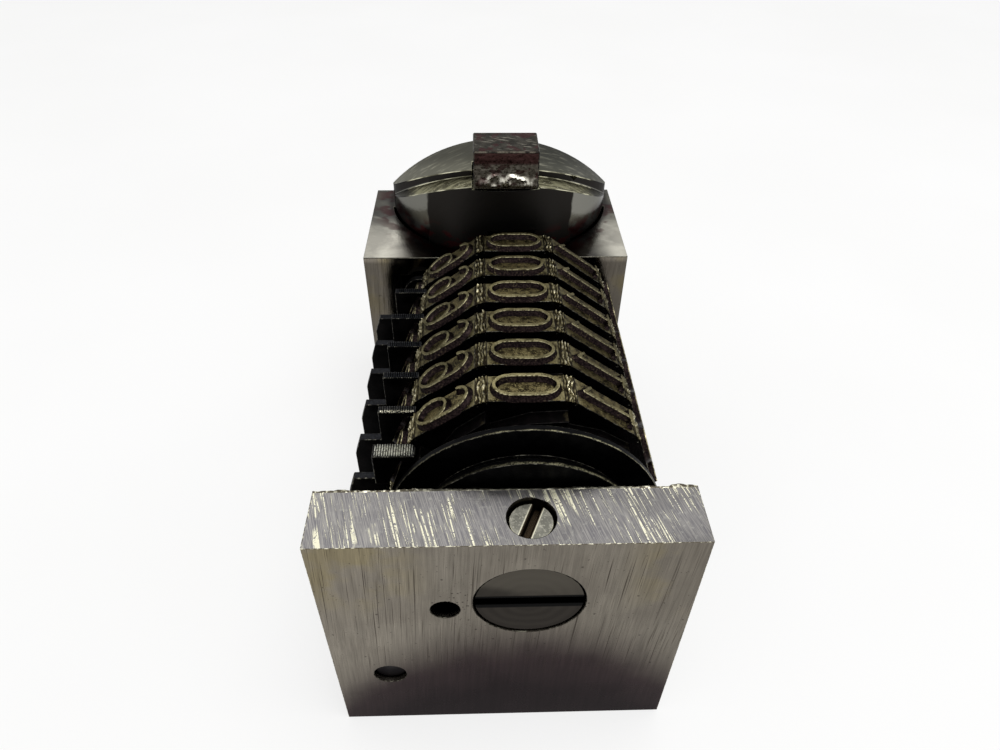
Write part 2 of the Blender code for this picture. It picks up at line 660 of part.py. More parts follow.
def make_rear_arm(parts, cutters, material):
    """The rear cheek: a crank plate with bosses for the drive pin, feed shaft and bridge."""
    drive = (DRIVE_PIN_DISTANCE, DRIVE_PIN_RADIUS + BOSS_WALL, DRIVE_PIN_ANGLE)
    outline = crank_outline(ARM_HUB_RADIUS, swing_bosses() + [drive])
    arm = prism("swing_rear_arm", outline, ARM_THICKNESS, parts,
                world(SHAFT_X, ARM_STATION + ARM_THICKNESS / 2, SHAFT_Z))
    start = ARM_STATION - OVERRUN
    end = ARM_STATION + ARM_THICKNESS + OVERRUN
    bore_swing_part(arm, cutters, "arm", start, end, SHAFT_TAIL_RADIUS)
    cut(arm, turned("cut_arm_drive_pin", rod_profile(DRIVE_PIN_RADIUS + RUNNING_GAP, start, end), cutters,
                    world(DRIVE_PIN_X, 0, DRIVE_PIN_Z), steps=SMALL_ROUND_STEPS))
    finish(arm, material)


def make_drive_pin(parts, material):
    pin = turned("drive_pin", rod_profile(DRIVE_PIN_RADIUS, ARM_STATION + SEAT_GAP, drive_pin_end()), parts,
                 world(DRIVE_PIN_X, 0, DRIVE_PIN_Z), steps=SMALL_ROUND_STEPS)
    finish(pin, material)


def drive_pin_end():
    """The pin reaches past the plunger's round face at the farthest point of its stroke."""
    offset = PLUNGER_X - DRIVE_PIN_FAR_X + DRIVE_PIN_RADIUS
    face = PLUNGER_CENTRE - math.sqrt(PLUNGER_RADIUS ** 2 - offset ** 2)
    return face + DRIVE_PIN_ENGAGEMENT


def make_swing_rods(parts, materials):
    front = lug_station() + SEAT_GAP
    rear = ARM_STATION + ARM_THICKNESS - SEAT_GAP
    x, z = swing_point(BRIDGE_DISTANCE, BRIDGE_ANGLE)
    steps = [
        (BRIDGE_TENON_RADIUS, ARM_STATION - SEAT_GAP, rear),
        (BRIDGE_RADIUS, lug_station() + CHEEK_LUG + SEAT_GAP, ARM_STATION - SEAT_GAP),
        (BRIDGE_TENON_RADIUS, front, lug_station() + CHEEK_LUG + SEAT_GAP),
    ]
    bridge = turned("swing_bridge", stepped_profile(steps), parts, world(x, 0, z), steps=SMALL_ROUND_STEPS)
    x, z = swing_point(FEED_SHAFT_DISTANCE, FEED_SHAFT_ANGLE)
    shaft = turned("feed_pawl_shaft", rod_profile(FEED_SHAFT_RADIUS, front, rear), parts, world(x, 0, z),
                   steps=SMALL_ROUND_STEPS)
    finish(bridge, materials["blackened"])
    finish(shaft, materials["ground"])


def ratchet_station(number):
    """The middle of a wheel's ratchet, where its pawl noses run."""
    return WHEELS_START + number * WHEEL_PITCH + RATCHET_WIDTH / 2


def feed_pawl_start():
    return lug_station() + CHEEK_LUG + 2 * SEAT_GAP + FEED_SPRING_LENGTH


def make_feed_pawl(parts, cutters, material):
    """A comb on its own shaft: an eye, a web that follows the wheels and six stepped noses."""
    pivot = swing_point(FEED_SHAFT_DISTANCE, FEED_SHAFT_ANGLE)
    shaft = (SHAFT_X, SHAFT_Z)
    inner = WHEEL_SWEEP + SWEEP_GAP
    outer = inner + FEED_WEB_THICKNESS
    end = ARM_STATION - 2 * SEAT_GAP
    start = feed_pawl_start()
    eye = turned("feed_pawl", rod_profile(FEED_EYE_RADIUS, start, end), parts, world(pivot[0], 0, pivot[1]),
                 steps=SMALL_ROUND_STEPS)

    def plate(name, angles, front, back):
        arcs = arc(shaft, outer, angles[0], angles[1], FEED_ARC_STEPS)
        arcs += arc(shaft, inner, angles[1], angles[0], FEED_ARC_STEPS)
        fuse(eye, prism(name, shifted(arcs, pivot), back - front, cutters,
                        world(pivot[0], (front + back) / 2, pivot[1])))

    first = ratchet_station(0) - PAWL_THICKNESS / 2
    plate("feed_web", (FEED_SHAFT_ANGLE + FEED_WEB_START, FEED_SHAFT_ANGLE + FEED_WEB_END), first, end)
    plate("feed_root", (FEED_SHAFT_ANGLE, FEED_SHAFT_ANGLE + FEED_ROOT_END), start, end)
    for number in range(WHEEL_COUNT):
        tip = NOSE_RADIUS + number * FEED_NOSE_STEP
        lead = FEED_SHAFT_ANGLE + FEED_NOSE_LEAD
        root = inner + FEED_WEB_THICKNESS / 2
        outline = [polar(tip, lead), polar(root, FEED_SHAFT_ANGLE + FEED_NOSE_ROOT), polar(root, lead)]
        outline = [(x + shaft[0], z + shaft[1]) for x, z in outline]
        fuse(eye, prism(f"feed_nose_{number + 1}", shifted(outline, pivot), PAWL_THICKNESS, cutters,
                        world(pivot[0], ratchet_station(number), pivot[1])))
    bore = rod_profile(FEED_SHAFT_RADIUS + RUNNING_GAP, FRONT_WALL, BLOCK_STATION)
    cut(eye, turned("cut_feed_bore", bore, cutters, world(pivot[0], 0, pivot[1]), steps=SMALL_ROUND_STEPS))
    finish(eye, material)


def wire(name, points, radius, collection, location, material):
    """A round wire along a line of points."""
    curve = bpy.data.curves.new(name, "CURVE")
    curve.dimensions = "3D"
    curve.bevel_depth = radius
    curve.bevel_resolution = 1
    curve.use_fill_caps = True
    spline = curve.splines.new("POLY")
    spline.points.add(len(points) - 1)
    for point, place in zip(spline.points, points):
        point.co = (*place, 1)
    curve.materials.append(material)
    return place_object(name, curve, collection, location, False)


def make_feed_spring(parts, material):
    """A coil round the feed shaft, with one leg under the bridge and one under the pawl's web."""
    pivot = swing_point(FEED_SHAFT_DISTANCE, FEED_SHAFT_ANGLE)
    radius = FEED_SHAFT_RADIUS + SEAT_GAP + FEED_SPRING_WIRE
    start = lug_station() + CHEEK_LUG + SEAT_GAP + FEED_SPRING_WIRE
    length = FEED_SPRING_LENGTH - 2 * FEED_SPRING_WIRE
    below = -math.pi / 2
    turns = FEED_SPRING_TURNS
    count = turns * COIL_POINTS
    points = []
    for index in range(count + 1):
        share = index / count
        x, z = polar(radius, below + turns * math.tau * share)
        points.append((x, start + length * share, z))
    bridge_leg = leg_end(pivot, BRIDGE_DISTANCE, BRIDGE_ANGLE, BRIDGE_RADIUS + FEED_SPRING_PRELOAD_GAP)
    web_outer = WHEEL_SWEEP + SWEEP_GAP + FEED_WEB_THICKNESS
    web_angle = FEED_SHAFT_ANGLE + (FEED_WEB_START + FEED_WEB_END) / 2
    web_leg = leg_end(pivot, web_outer, web_angle, FEED_SPRING_PRELOAD_GAP)
    points.insert(0, (bridge_leg[0], start, bridge_leg[1]))
    points.append((web_leg[0], start + length, web_leg[1]))
    return wire("feed_pawl_spring", points, FEED_SPRING_WIRE, parts, world(pivot[0], 0, pivot[1]), material)


def leg_end(pivot, distance, angle, clear):
    """A point just outside a place on the swing, measured from the feed shaft."""
    x, z = swing_point(distance + clear + FEED_SPRING_WIRE, angle)
    return (x - pivot[0], z - pivot[1])


def retaining_outline():
    """The side of a retaining pawl: tail, waist, nose, throat, finger tab and stepped shoulder."""
    shaft = (SHAFT_X, SHAFT_Z)
    half_tail = PAWL_TAIL_WIDTH / 2
    tail_z = PAWL_SHAFT_Z - PAWL_TAIL_REACH
    tail = [(PAWL_SHAFT_X - half_tail, tail_z), (PAWL_SHAFT_X + half_tail, tail_z)]
    hub_right = [(PAWL_SHAFT_X + PAWL_SHAFT_RADIUS, PAWL_SHAFT_Z + PAWL_HUB_WALL)]
    waist_side = arc(shaft, NOSE_RADIUS + PAWL_WAIST_RELIEF, math.pi + PAWL_WAIST_START,
                     math.pi + PAWL_WAIST_END, PAWL_ARC_STEPS)
    x, z = polar(NOSE_RADIUS, math.pi - PAWL_NOSE_TURN)
    nose = [(shaft[0] + x, shaft[1] + z)]
    throat = NOSE_RADIUS + PAWL_THROAT_RELIEF
    lip_turn = math.pi - math.asin((PAWL_LIP_Z - SHAFT_Z) / throat)
    throat_side = arc(shaft, throat, math.pi - PAWL_THROAT_START, lip_turn, PAWL_ARC_STEPS)
    tab = [(PAWL_TAB_RIGHT_X, PAWL_LIP_Z), (PAWL_TAB_RIGHT_X, PAWL_TAB_TOP_Z),
           (PAWL_TAB_LEFT_X, PAWL_TAB_TOP_Z), (PAWL_TAB_LEFT_X, PAWL_SHOULDER_Z)]
    shoulder = [(PAWL_SHOULDER_X, PAWL_SHOULDER_Z), (PAWL_OUTER_X, (SHAFT_Z + PAWL_SHOULDER_Z) / 2),
                (PAWL_OUTER_X, (SHAFT_Z + PAWL_SHAFT_Z) / 2),
                (PAWL_SHAFT_X - PAWL_HUB_RADIUS + OVERLAP, PAWL_SHAFT_Z)]
    outline = tail + hub_right + waist_side + nose + throat_side + tab + shoulder
    return shifted(outline, (PAWL_SHAFT_X, PAWL_SHAFT_Z))


def pad_outline():
    """The side of the first pawl's pad: as the tab, but reaching a little farther over the wheel."""
    throat = NOSE_RADIUS + PAWL_THROAT_RELIEF
    right = PAWL_TAB_RIGHT_X + PAWL_PAD_REACH
    outline = [(right, PAWL_LIP_Z), (right, PAWL_TAB_TOP_Z), (PAWL_TAB_LEFT_X, PAWL_TAB_TOP_Z),
               (PAWL_TAB_LEFT_X, PAWL_SHOULDER_Z)]
    for z in (PAWL_SHOULDER_Z, PAWL_LIP_Z):
        outline.append((SHAFT_X - math.sqrt(throat ** 2 - (z - SHAFT_Z) ** 2), z))
    return shifted(outline, (PAWL_SHAFT_X, PAWL_SHAFT_Z))


def pawl_mesh(name, cutters, padded):
    """A plate with a long hub behind it that spaces it from the next pawl."""
    centre = world(0, CASE_LENGTH / 2, 0)
    front = -(PAWL_THICKNESS + SIDE_GAP) / 2
    hub = rod_profile(PAWL_HUB_RADIUS, front, front + WHEEL_PITCH - SIDE_GAP)
    pawl = turned(f"{name}_master", hub, cutters, centre, steps=SMALL_ROUND_STEPS)
    fuse(pawl, prism(f"{name}_plate", retaining_outline(), PAWL_THICKNESS, cutters, centre))
    if padded:
        start = -PAWL_THICKNESS / 2 - PAWL_PAD_DEPTH
        end = -PAWL_THICKNESS / 2 + SIDE_GAP
        fuse(pawl, prism(f"{name}_pad", pad_outline(), end - start, cutters,
                         world(0, CASE_LENGTH / 2 + (start + end) / 2, 0)))
    bore = rod_profile(PAWL_SHAFT_RADIUS + RUNNING_GAP, -OVERRUN, WHEEL_PITCH + OVERRUN)
    cut(pawl, turned(f"cut_{name}_bore", bore, cutters, centre, steps=SMALL_ROUND_STEPS))
    bpy.context.view_layer.update()
    evaluated = pawl.evaluated_get(bpy.context.evaluated_depsgraph_get())
    mesh = bpy.data.meshes.new_from_object(evaluated)
    mesh.transform(pawl.matrix_world)
    mesh.name = name
    pawl.hide_render = True
    pawl.display_type = "WIRE"
    return mesh


def make_retaining_pawls(parts, cutters, material):
    """Six pawls of one shape, but for the broad pad that the first has in front of its tab."""
    first = pawl_mesh("padded_pawl", cutters, True)
    plain = pawl_mesh("plain_pawl", cutters, False)
    for number in range(WHEEL_COUNT):
        place = world(PAWL_SHAFT_X, ratchet_station(number), PAWL_SHAFT_Z)
        mesh = plain if number else first
        finish(place_object(f"retaining_pawl_{number + 1}", mesh, parts, place, False), material)


def make_pawl_shaft(parts, materials):
    """The pawl shaft, and the two sleeves that fill it before the first pawl and after the last."""
    start = PAWL_SHAFT_RECESS
    end = BLOCK_STATION + PAWL_SHAFT_SEAT
    shaft = turned("retaining_pawl_shaft", rod_profile(PAWL_SHAFT_RADIUS, start, end), parts,
                   world(PAWL_SHAFT_X, 0, PAWL_SHAFT_Z), steps=SMALL_ROUND_STEPS)
    finish(shaft, materials["ground"])
    first = ratchet_station(0) - (PAWL_THICKNESS + SIDE_GAP) / 2
    last = ratchet_station(WHEEL_COUNT) - (PAWL_THICKNESS + SIDE_GAP) / 2
    spans = {"pawl_sleeve_front": (FRONT_WALL + SIDE_GAP, first - SIDE_GAP),
             "pawl_sleeve_rear": (last, BLOCK_STATION - SIDE_GAP)}
    for name, (low, high) in spans.items():
        profile = sleeve_profile(PAWL_HUB_RADIUS, PAWL_SHAFT_RADIUS + RUNNING_GAP, low, high)
        sleeve = turned(name, profile, parts, world(PAWL_SHAFT_X, 0, PAWL_SHAFT_Z),
                        steps=SMALL_ROUND_STEPS, bored=True)
        finish(sleeve, materials["blackened"])


def comb_finger_x():
    """The right-hand side of the pawl tails, plus the play that the lifted pawls take up."""
    return PAWL_SHAFT_X + PAWL_TAIL_WIDTH / 2 + COMB_PRELOAD_GAP


def comb_screw_x():
    return comb_finger_x() + COMB_THICKNESS + COMB_FOOT / 2


def comb_screw_stations():
    return [ratchet_station(0) + WHEEL_PITCH / 2, ratchet_station(WHEEL_COUNT - 1) - WHEEL_PITCH / 2]


def make_comb_spring(parts, cutters, material):
    """A bent leaf on the floor, slit into six fingers that press on the tails of the pawls."""
    left = comb_finger_x()
    right = left + COMB_THICKNESS + COMB_FOOT
    base = FLOOR + SEAT_GAP
    top = PAWL_SHAFT_Z - PAWL_TAIL_REACH + COMB_FINGER_OVERLAP
    start = ratchet_station(0) - COMB_FINGER_WIDTH / 2
    end = ratchet_station(WHEEL_COUNT - 1) + COMB_FINGER_WIDTH / 2
    outline = [(left, base), (right, base), (right, base + COMB_THICKNESS),
               (left + COMB_THICKNESS, base + COMB_THICKNESS), (left + COMB_THICKNESS, top), (left, top)]
    comb = prism("retaining_pawl_spring", outline, end - start, parts, world(0, (start + end) / 2, 0))
    for number in range(WHEEL_COUNT - 1):
        slit_start = ratchet_station(number) + COMB_FINGER_WIDTH / 2
        slit_end = ratchet_station(number + 1) - COMB_FINGER_WIDTH / 2
        cut(comb, box(f"cut_comb_slit_{number + 1}",
                      (left - OVERRUN, slit_start, base + 2 * COMB_THICKNESS),
                      (left + 2 * COMB_THICKNESS, slit_end, top + OVERRUN), cutters))
    for number, station in enumerate(comb_screw_stations(), start=1):
        hole = rod_profile(COMB_SCREW_RADIUS + SEAT_GAP, 0, FLOOR + OVERRUN)
        cut(comb, turned(f"cut_comb_hole_{number}", hole, cutters, world(comb_screw_x(), station, 0),
                         lying=False, steps=SMALL_ROUND_STEPS))
    finish(comb, material)


def make_comb_screws(parts, material):
    """The two pan-head screws of the comb spring."""
    head_floor = FLOOR + COMB_THICKNESS + 2 * SEAT_GAP
    steps = [
        (COMB_SCREW_HEAD_RADIUS, head_floor, head_floor + COMB_SCREW_HEAD),
        (COMB_SCREW_RADIUS, FLOOR - COMB_SCREW_DEPTH, head_floor),
    ]
    for number, station in enumerate(comb_screw_stations(), start=1):
        screw = turned(f"comb_spring_screw_{number}", stepped_profile(steps), parts,
                       world(comb_screw_x(), station, 0), lying=False, steps=SMALL_ROUND_STEPS)
        finish(screw, material)


def arch_cylinder(name, top, radius, collection):
    """A lying cylinder whose upper side is an arch over the plunger."""
    profile = rod_profile(radius, PLUNGER_FRONT - OVERRUN, PLUNGER_BACK + OVERRUN)
    return turned(name, profile, collection, world(PLUNGER_X, 0, top - radius), steps=ARCH_STEPS)


def make_plunger(parts, cutters, material):
    """The half-round plunger: an arched crown, cut down to a ledge along its round front."""
    low = PLUNGER_FOOT
    crown_top = PLUNGER_LEDGE_TOP + PLUNGER_CROWN_RISE
    high = crown_top + OVERRUN
    plan = half_round_plan(PLUNGER_RADIUS, PLUNGER_FRONT, PLUNGER_BACK)
    plunger = prism("plunger", plan, high - low, parts, (0, 0, (low + high) / 2), lying=False)
    keep_inside(plunger, arch_cylinder("keep_crown_arch", crown_top, PLUNGER_CROWN_ARCH, cutters))

    side = PLUNGER_RADIUS + OVERRUN
    ledge = box("cut_ledge",
                (PLUNGER_X - side, PLUNGER_FRONT - OVERRUN / 2, PLUNGER_LEDGE_TOP - PLUNGER_LEDGE_ARCH / 2),
                (PLUNGER_X + side, PLUNGER_CENTRE, high + OVERRUN), cutters)
    cut(ledge, arch_cylinder("keep_ledge_arch", PLUNGER_LEDGE_TOP, PLUNGER_LEDGE_ARCH, cutters))
    crown_centre = (PLUNGER_X, PLUNGER_FRONT + PLUNGER_LEDGE_WIDTH + PLUNGER_CROWN_PLAN_RADIUS)
    crown_plan = [(x, y - CASE_LENGTH / 2)
                  for x, y in arc(crown_centre, PLUNGER_CROWN_PLAN_RADIUS, math.pi, math.tau, ROUND_STEPS)]
    cut(ledge, prism("keep_crown_plan", crown_plan, 2 * (high + OVERRUN + OVERLAP), cutters, (0, 0, 0),
                     lying=False))
    cut(plunger, ledge)
    cut_plunger(plunger, cutters)
    finish(plunger, material)


def cut_plunger(plunger, cutters):
    half_shaft = SHAFT_TAIL_RADIUS + PLUNGER_FIT
    cut(plunger, box("cut_shaft_slot_in_plunger",
                     (SHAFT_X - half_shaft, PLUNGER_FRONT - OVERRUN, SHAFT_Z - half_shaft),
                     (SHAFT_X + half_shaft, PLUNGER_BACK + OVERRUN, SHAFT_Z + PLUNGER_TRAVEL + half_shaft),
                     cutters))
    room = DRIVE_PIN_RADIUS + PLUNGER_FIT
    cut(plunger, box("cut_drive_slot",
                     (DRIVE_PIN_FAR_X - room, PLUNGER_FRONT - OVERRUN, DRIVE_PIN_Z - room),
                     (DRIVE_PIN_X + room, drive_pin_end() + PLUNGER_FIT, DRIVE_PIN_Z + room), cutters))
    slug_half = SLUG_WIDTH / 2 + SEAT_GAP
    slug_x = PLUNGER_X + SLUG_OFFSET_X
    cut(plunger, box("cut_slug_seat",
                     (slug_x - slug_half, PLUNGER_FRONT - OVERRUN, SLUG_SEAT),
                     (slug_x + slug_half, PLUNGER_FRONT + SLUG_LENGTH + SEAT_GAP, SLUG_TOP + OVERRUN),
                     cutters))
    bore_radius = PLUNGER_SPRING_RADIUS + PLUNGER_SPRING_WIRE + SPRING_BORE_GAP
    for side, x in spring_places().items():
        bore = rod_profile(bore_radius, PLUNGER_FOOT - OVERRUN, PLUNGER_FOOT + SPRING_BORE_DEPTH)
        cut(plunger, turned(f"cut_spring_bore_{side}", bore, cutters, world(x, SPRING_STATION, 0),
                            lying=False, steps=SMALL_ROUND_STEPS))


def spring_places():
    return {"left": PLUNGER_X - PLUNGER_SPRING_OFFSET, "right": PLUNGER_X + PLUNGER_SPRING_OFFSET}


def make_plunger_springs(parts, material):
    low = POCKET_FLOOR + SEAT_GAP + PLUNGER_SPRING_WIRE
    high = PLUNGER_FOOT + SPRING_BORE_DEPTH - SEAT_GAP - PLUNGER_SPRING_WIRE
    count = PLUNGER_SPRING_TURNS * COIL_POINTS
    points = []
    for index in range(count + 1):
        share = index / count
        x, y = polar(PLUNGER_SPRING_RADIUS, PLUNGER_SPRING_TURNS * math.tau * share)
        points.append((x, y, low + (high - low) * share))
    for side, x in spring_places().items():
        wire(f"plunger_spring_{side}", points, PLUNGER_SPRING_WIRE, parts, world(x, SPRING_STATION, 0),
             material)
    pitch = (high - low) / PLUNGER_SPRING_TURNS
    pressed = (high - low - PLUNGER_TRAVEL) / PLUNGER_SPRING_TURNS
    print(f"gap between spring turns: {(pitch - 2 * PLUNGER_SPRING_WIRE) * 1000:.2f} mm at rest, "
          f"{(pressed - 2 * PLUNGER_SPRING_WIRE) * 1000:.2f} mm pressed")


def make_slug(parts, material):
    """The type slug that stands in a seat on top of the plunger."""
    x = PLUNGER_X + SLUG_OFFSET_X
    slug = box("plunger_slug", (x - SLUG_WIDTH / 2, PLUNGER_FRONT, SLUG_SEAT + SEAT_GAP),
               (x + SLUG_WIDTH / 2, PLUNGER_FRONT + SLUG_LENGTH, SLUG_TOP), parts)
    finish(slug, material)


def make_materials():
    return {
        "case": new_material("ground_case_steel", (0.52, 0.49, 0.48), 0.35, 1.0),
        "ground": new_material("polished_steel", (0.60, 0.59, 0.58), 0.22, 1.0),
        "blackened": new_material("blackened_steel", (0.035, 0.033, 0.034), 0.45, 0.9),
        "wheel": new_material("worn_wheel_steel", (0.16, 0.14, 0.11), 0.5, 0.9),
        "plunger": new_material("plunger_steel", (0.45, 0.44, 0.44), 0.25, 1.0),
        "spring": new_material("spring_steel", (0.30, 0.30, 0.32), 0.3, 1.0),
    }


def main():
    clear_scene()
    parts = new_collection(OBJECT_NAME)
    cutters = new_collection("cutters")
    materials = make_materials()
    make_case(parts, cutters, materials["case"])
    make_wheel_shaft(parts, cutters, materials["ground"])
    make_lock_screw(parts, cutters, materials["ground"])
    make_type_wheels(parts, cutters, materials["wheel"])
    make_front_cheek(parts, cutters, materials["blackened"])
    make_rear_arm(parts, cutters, materials["blackened"])
    make_drive_pin(parts, materials["ground"])
    make_swing_rods(parts, materials)
    make_feed_pawl(parts, cutters, materials["blackened"])
    make_feed_spring(parts, materials["spring"])
    make_retaining_pawls(parts, cutters, materials["blackened"])
    make_pawl_shaft(parts, materials)
    make_comb_spring(parts, cutters, materials["spring"])
    make_comb_screws(parts, materials["ground"])
    make_plunger(parts, cutters, materials["plunger"])
    make_plunger_springs(parts, materials["spring"])
    make_slug(parts, materials["plunger"])


main()
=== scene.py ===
import math

import bmesh
import bpy
from mathutils import Matrix, Vector, noise


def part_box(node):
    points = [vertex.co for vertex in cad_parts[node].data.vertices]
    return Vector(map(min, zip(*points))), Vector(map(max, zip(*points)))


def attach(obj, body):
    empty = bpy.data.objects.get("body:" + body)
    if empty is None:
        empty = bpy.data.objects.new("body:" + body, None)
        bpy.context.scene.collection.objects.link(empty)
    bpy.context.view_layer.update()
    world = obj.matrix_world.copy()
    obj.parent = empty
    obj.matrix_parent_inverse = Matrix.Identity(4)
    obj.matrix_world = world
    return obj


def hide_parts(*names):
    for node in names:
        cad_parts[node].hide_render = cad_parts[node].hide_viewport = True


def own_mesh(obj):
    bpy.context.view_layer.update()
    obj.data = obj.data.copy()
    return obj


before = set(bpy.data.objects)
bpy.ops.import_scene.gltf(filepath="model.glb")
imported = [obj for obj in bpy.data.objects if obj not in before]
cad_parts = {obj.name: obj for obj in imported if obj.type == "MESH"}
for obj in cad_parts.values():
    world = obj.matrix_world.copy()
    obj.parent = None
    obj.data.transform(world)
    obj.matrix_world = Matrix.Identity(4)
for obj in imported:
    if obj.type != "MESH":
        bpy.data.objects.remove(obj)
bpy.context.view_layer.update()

MM = 0.001

# The noise that wears the figures and dents the slug is seeded, so that it is the same each run
NOISE_SEED = 3
noise.seed_set(NOISE_SEED)

# The camera stands in front of the machine and above it, at the photo's angle
CAMERA_PLACE = (-0.00145, -0.04287, 0.05163)
CAMERA_PITCH = math.radians(41.05)
CAMERA_YAW = math.radians(2.14)
CAMERA_ROLL = math.radians(0.80)
CAMERA_LENS = 25.66

# The lamp is a soft box over the machine, and the rest of the light comes from all round
LAMP_PLACE = (0.06, -0.05, 0.33)
LAMP_AIM = (0.0, 0.0, 0.01)
LAMP_SIZE = 0.22
LAMP_POWER = 0.55
FILL = 0.62
FLOOR_SIZE = 3.0
FLOOR_LIFT = 0.68
FLOOR_NEAR = 100.0
FLOOR_FAR = 1500.0

# How much of the usual sheen at a low angle these old surfaces keep
EDGE_TINT = (0.6, 0.6, 0.6, 1.0)

# Worn edges, in millimetres
WELD = 0.0002
FLAT = math.radians(1.0)
EDGE_ANGLE = math.radians(28.0)
EDGE_ROOM = 2.05
SHADE_ANGLE = math.radians(32.0)

# Figures on the wheels, in millimetres. A figure's stroke is a ridge: half its width at each height over the land,
# how much wider it is where it runs along the figure, and which of its surfaces the band above that height has
STROKE_LEVELS = ((0.27, -0.05, 0.08, 1), (0.24, 0.02, 0.08, 1), (0.15, 0.13, 0.06, 1), (0.105, 0.325, 0.02, 2),
                 (0.085, 0.375, 0.015, 0))
HALF_WIDE = 0.86
HALF_TALL = 1.94
STRAIGHT_HALF = 0.80
CURVE_STEP = math.radians(12.0)
CAP_STEPS = 8
STROKE_STEP_DOWN = 0.004
FIGURE_WEAR = 0.018
FIGURE_WEAR_SIZE = 0.3

# Frayed ribs across the wheels' corners, in millimetres
RIB_HALF_WIDTH = 0.42
RIB_PITCH = 0.25
RIB_RISE = 0.24
RIB_OVERHANG = 0.02
RIB_ROOT = 0.10
RIB_STEPS = (17, 23)

# Ridged tops of the finger tabs, in millimetres
RIDGE_PITCH = 0.15
RIDGE_RISE = 0.08
RIDGE_ROOT = 0.10
TAB_ROUND = 0.30

# Burrs along the edges of the front wall's top, in millimetres
BURR_STEP = 0.1
BURR_HEIGHT = 0.05

# Plunger springs, in millimetres
SPRING_WIRE = 0.25
SPRING_TURNS = 7
COIL_STEPS = 28
WIRE_STEPS = 10
FACETS = 10
FACET_TURN = math.tau / FACETS
TOP_FACET = math.pi / 2


def srgb(red, green, blue):
    """A colour as it looks on a screen, from 0 to 255 a channel, as the linear value that a shader takes."""
    def linear(value):
        share = value / 255
        return share / 12.92 if share <= 0.04045 else ((share + 0.055) / 1.055) ** 2.4
    return (linear(red), linear(green), linear(blue), 1.0)


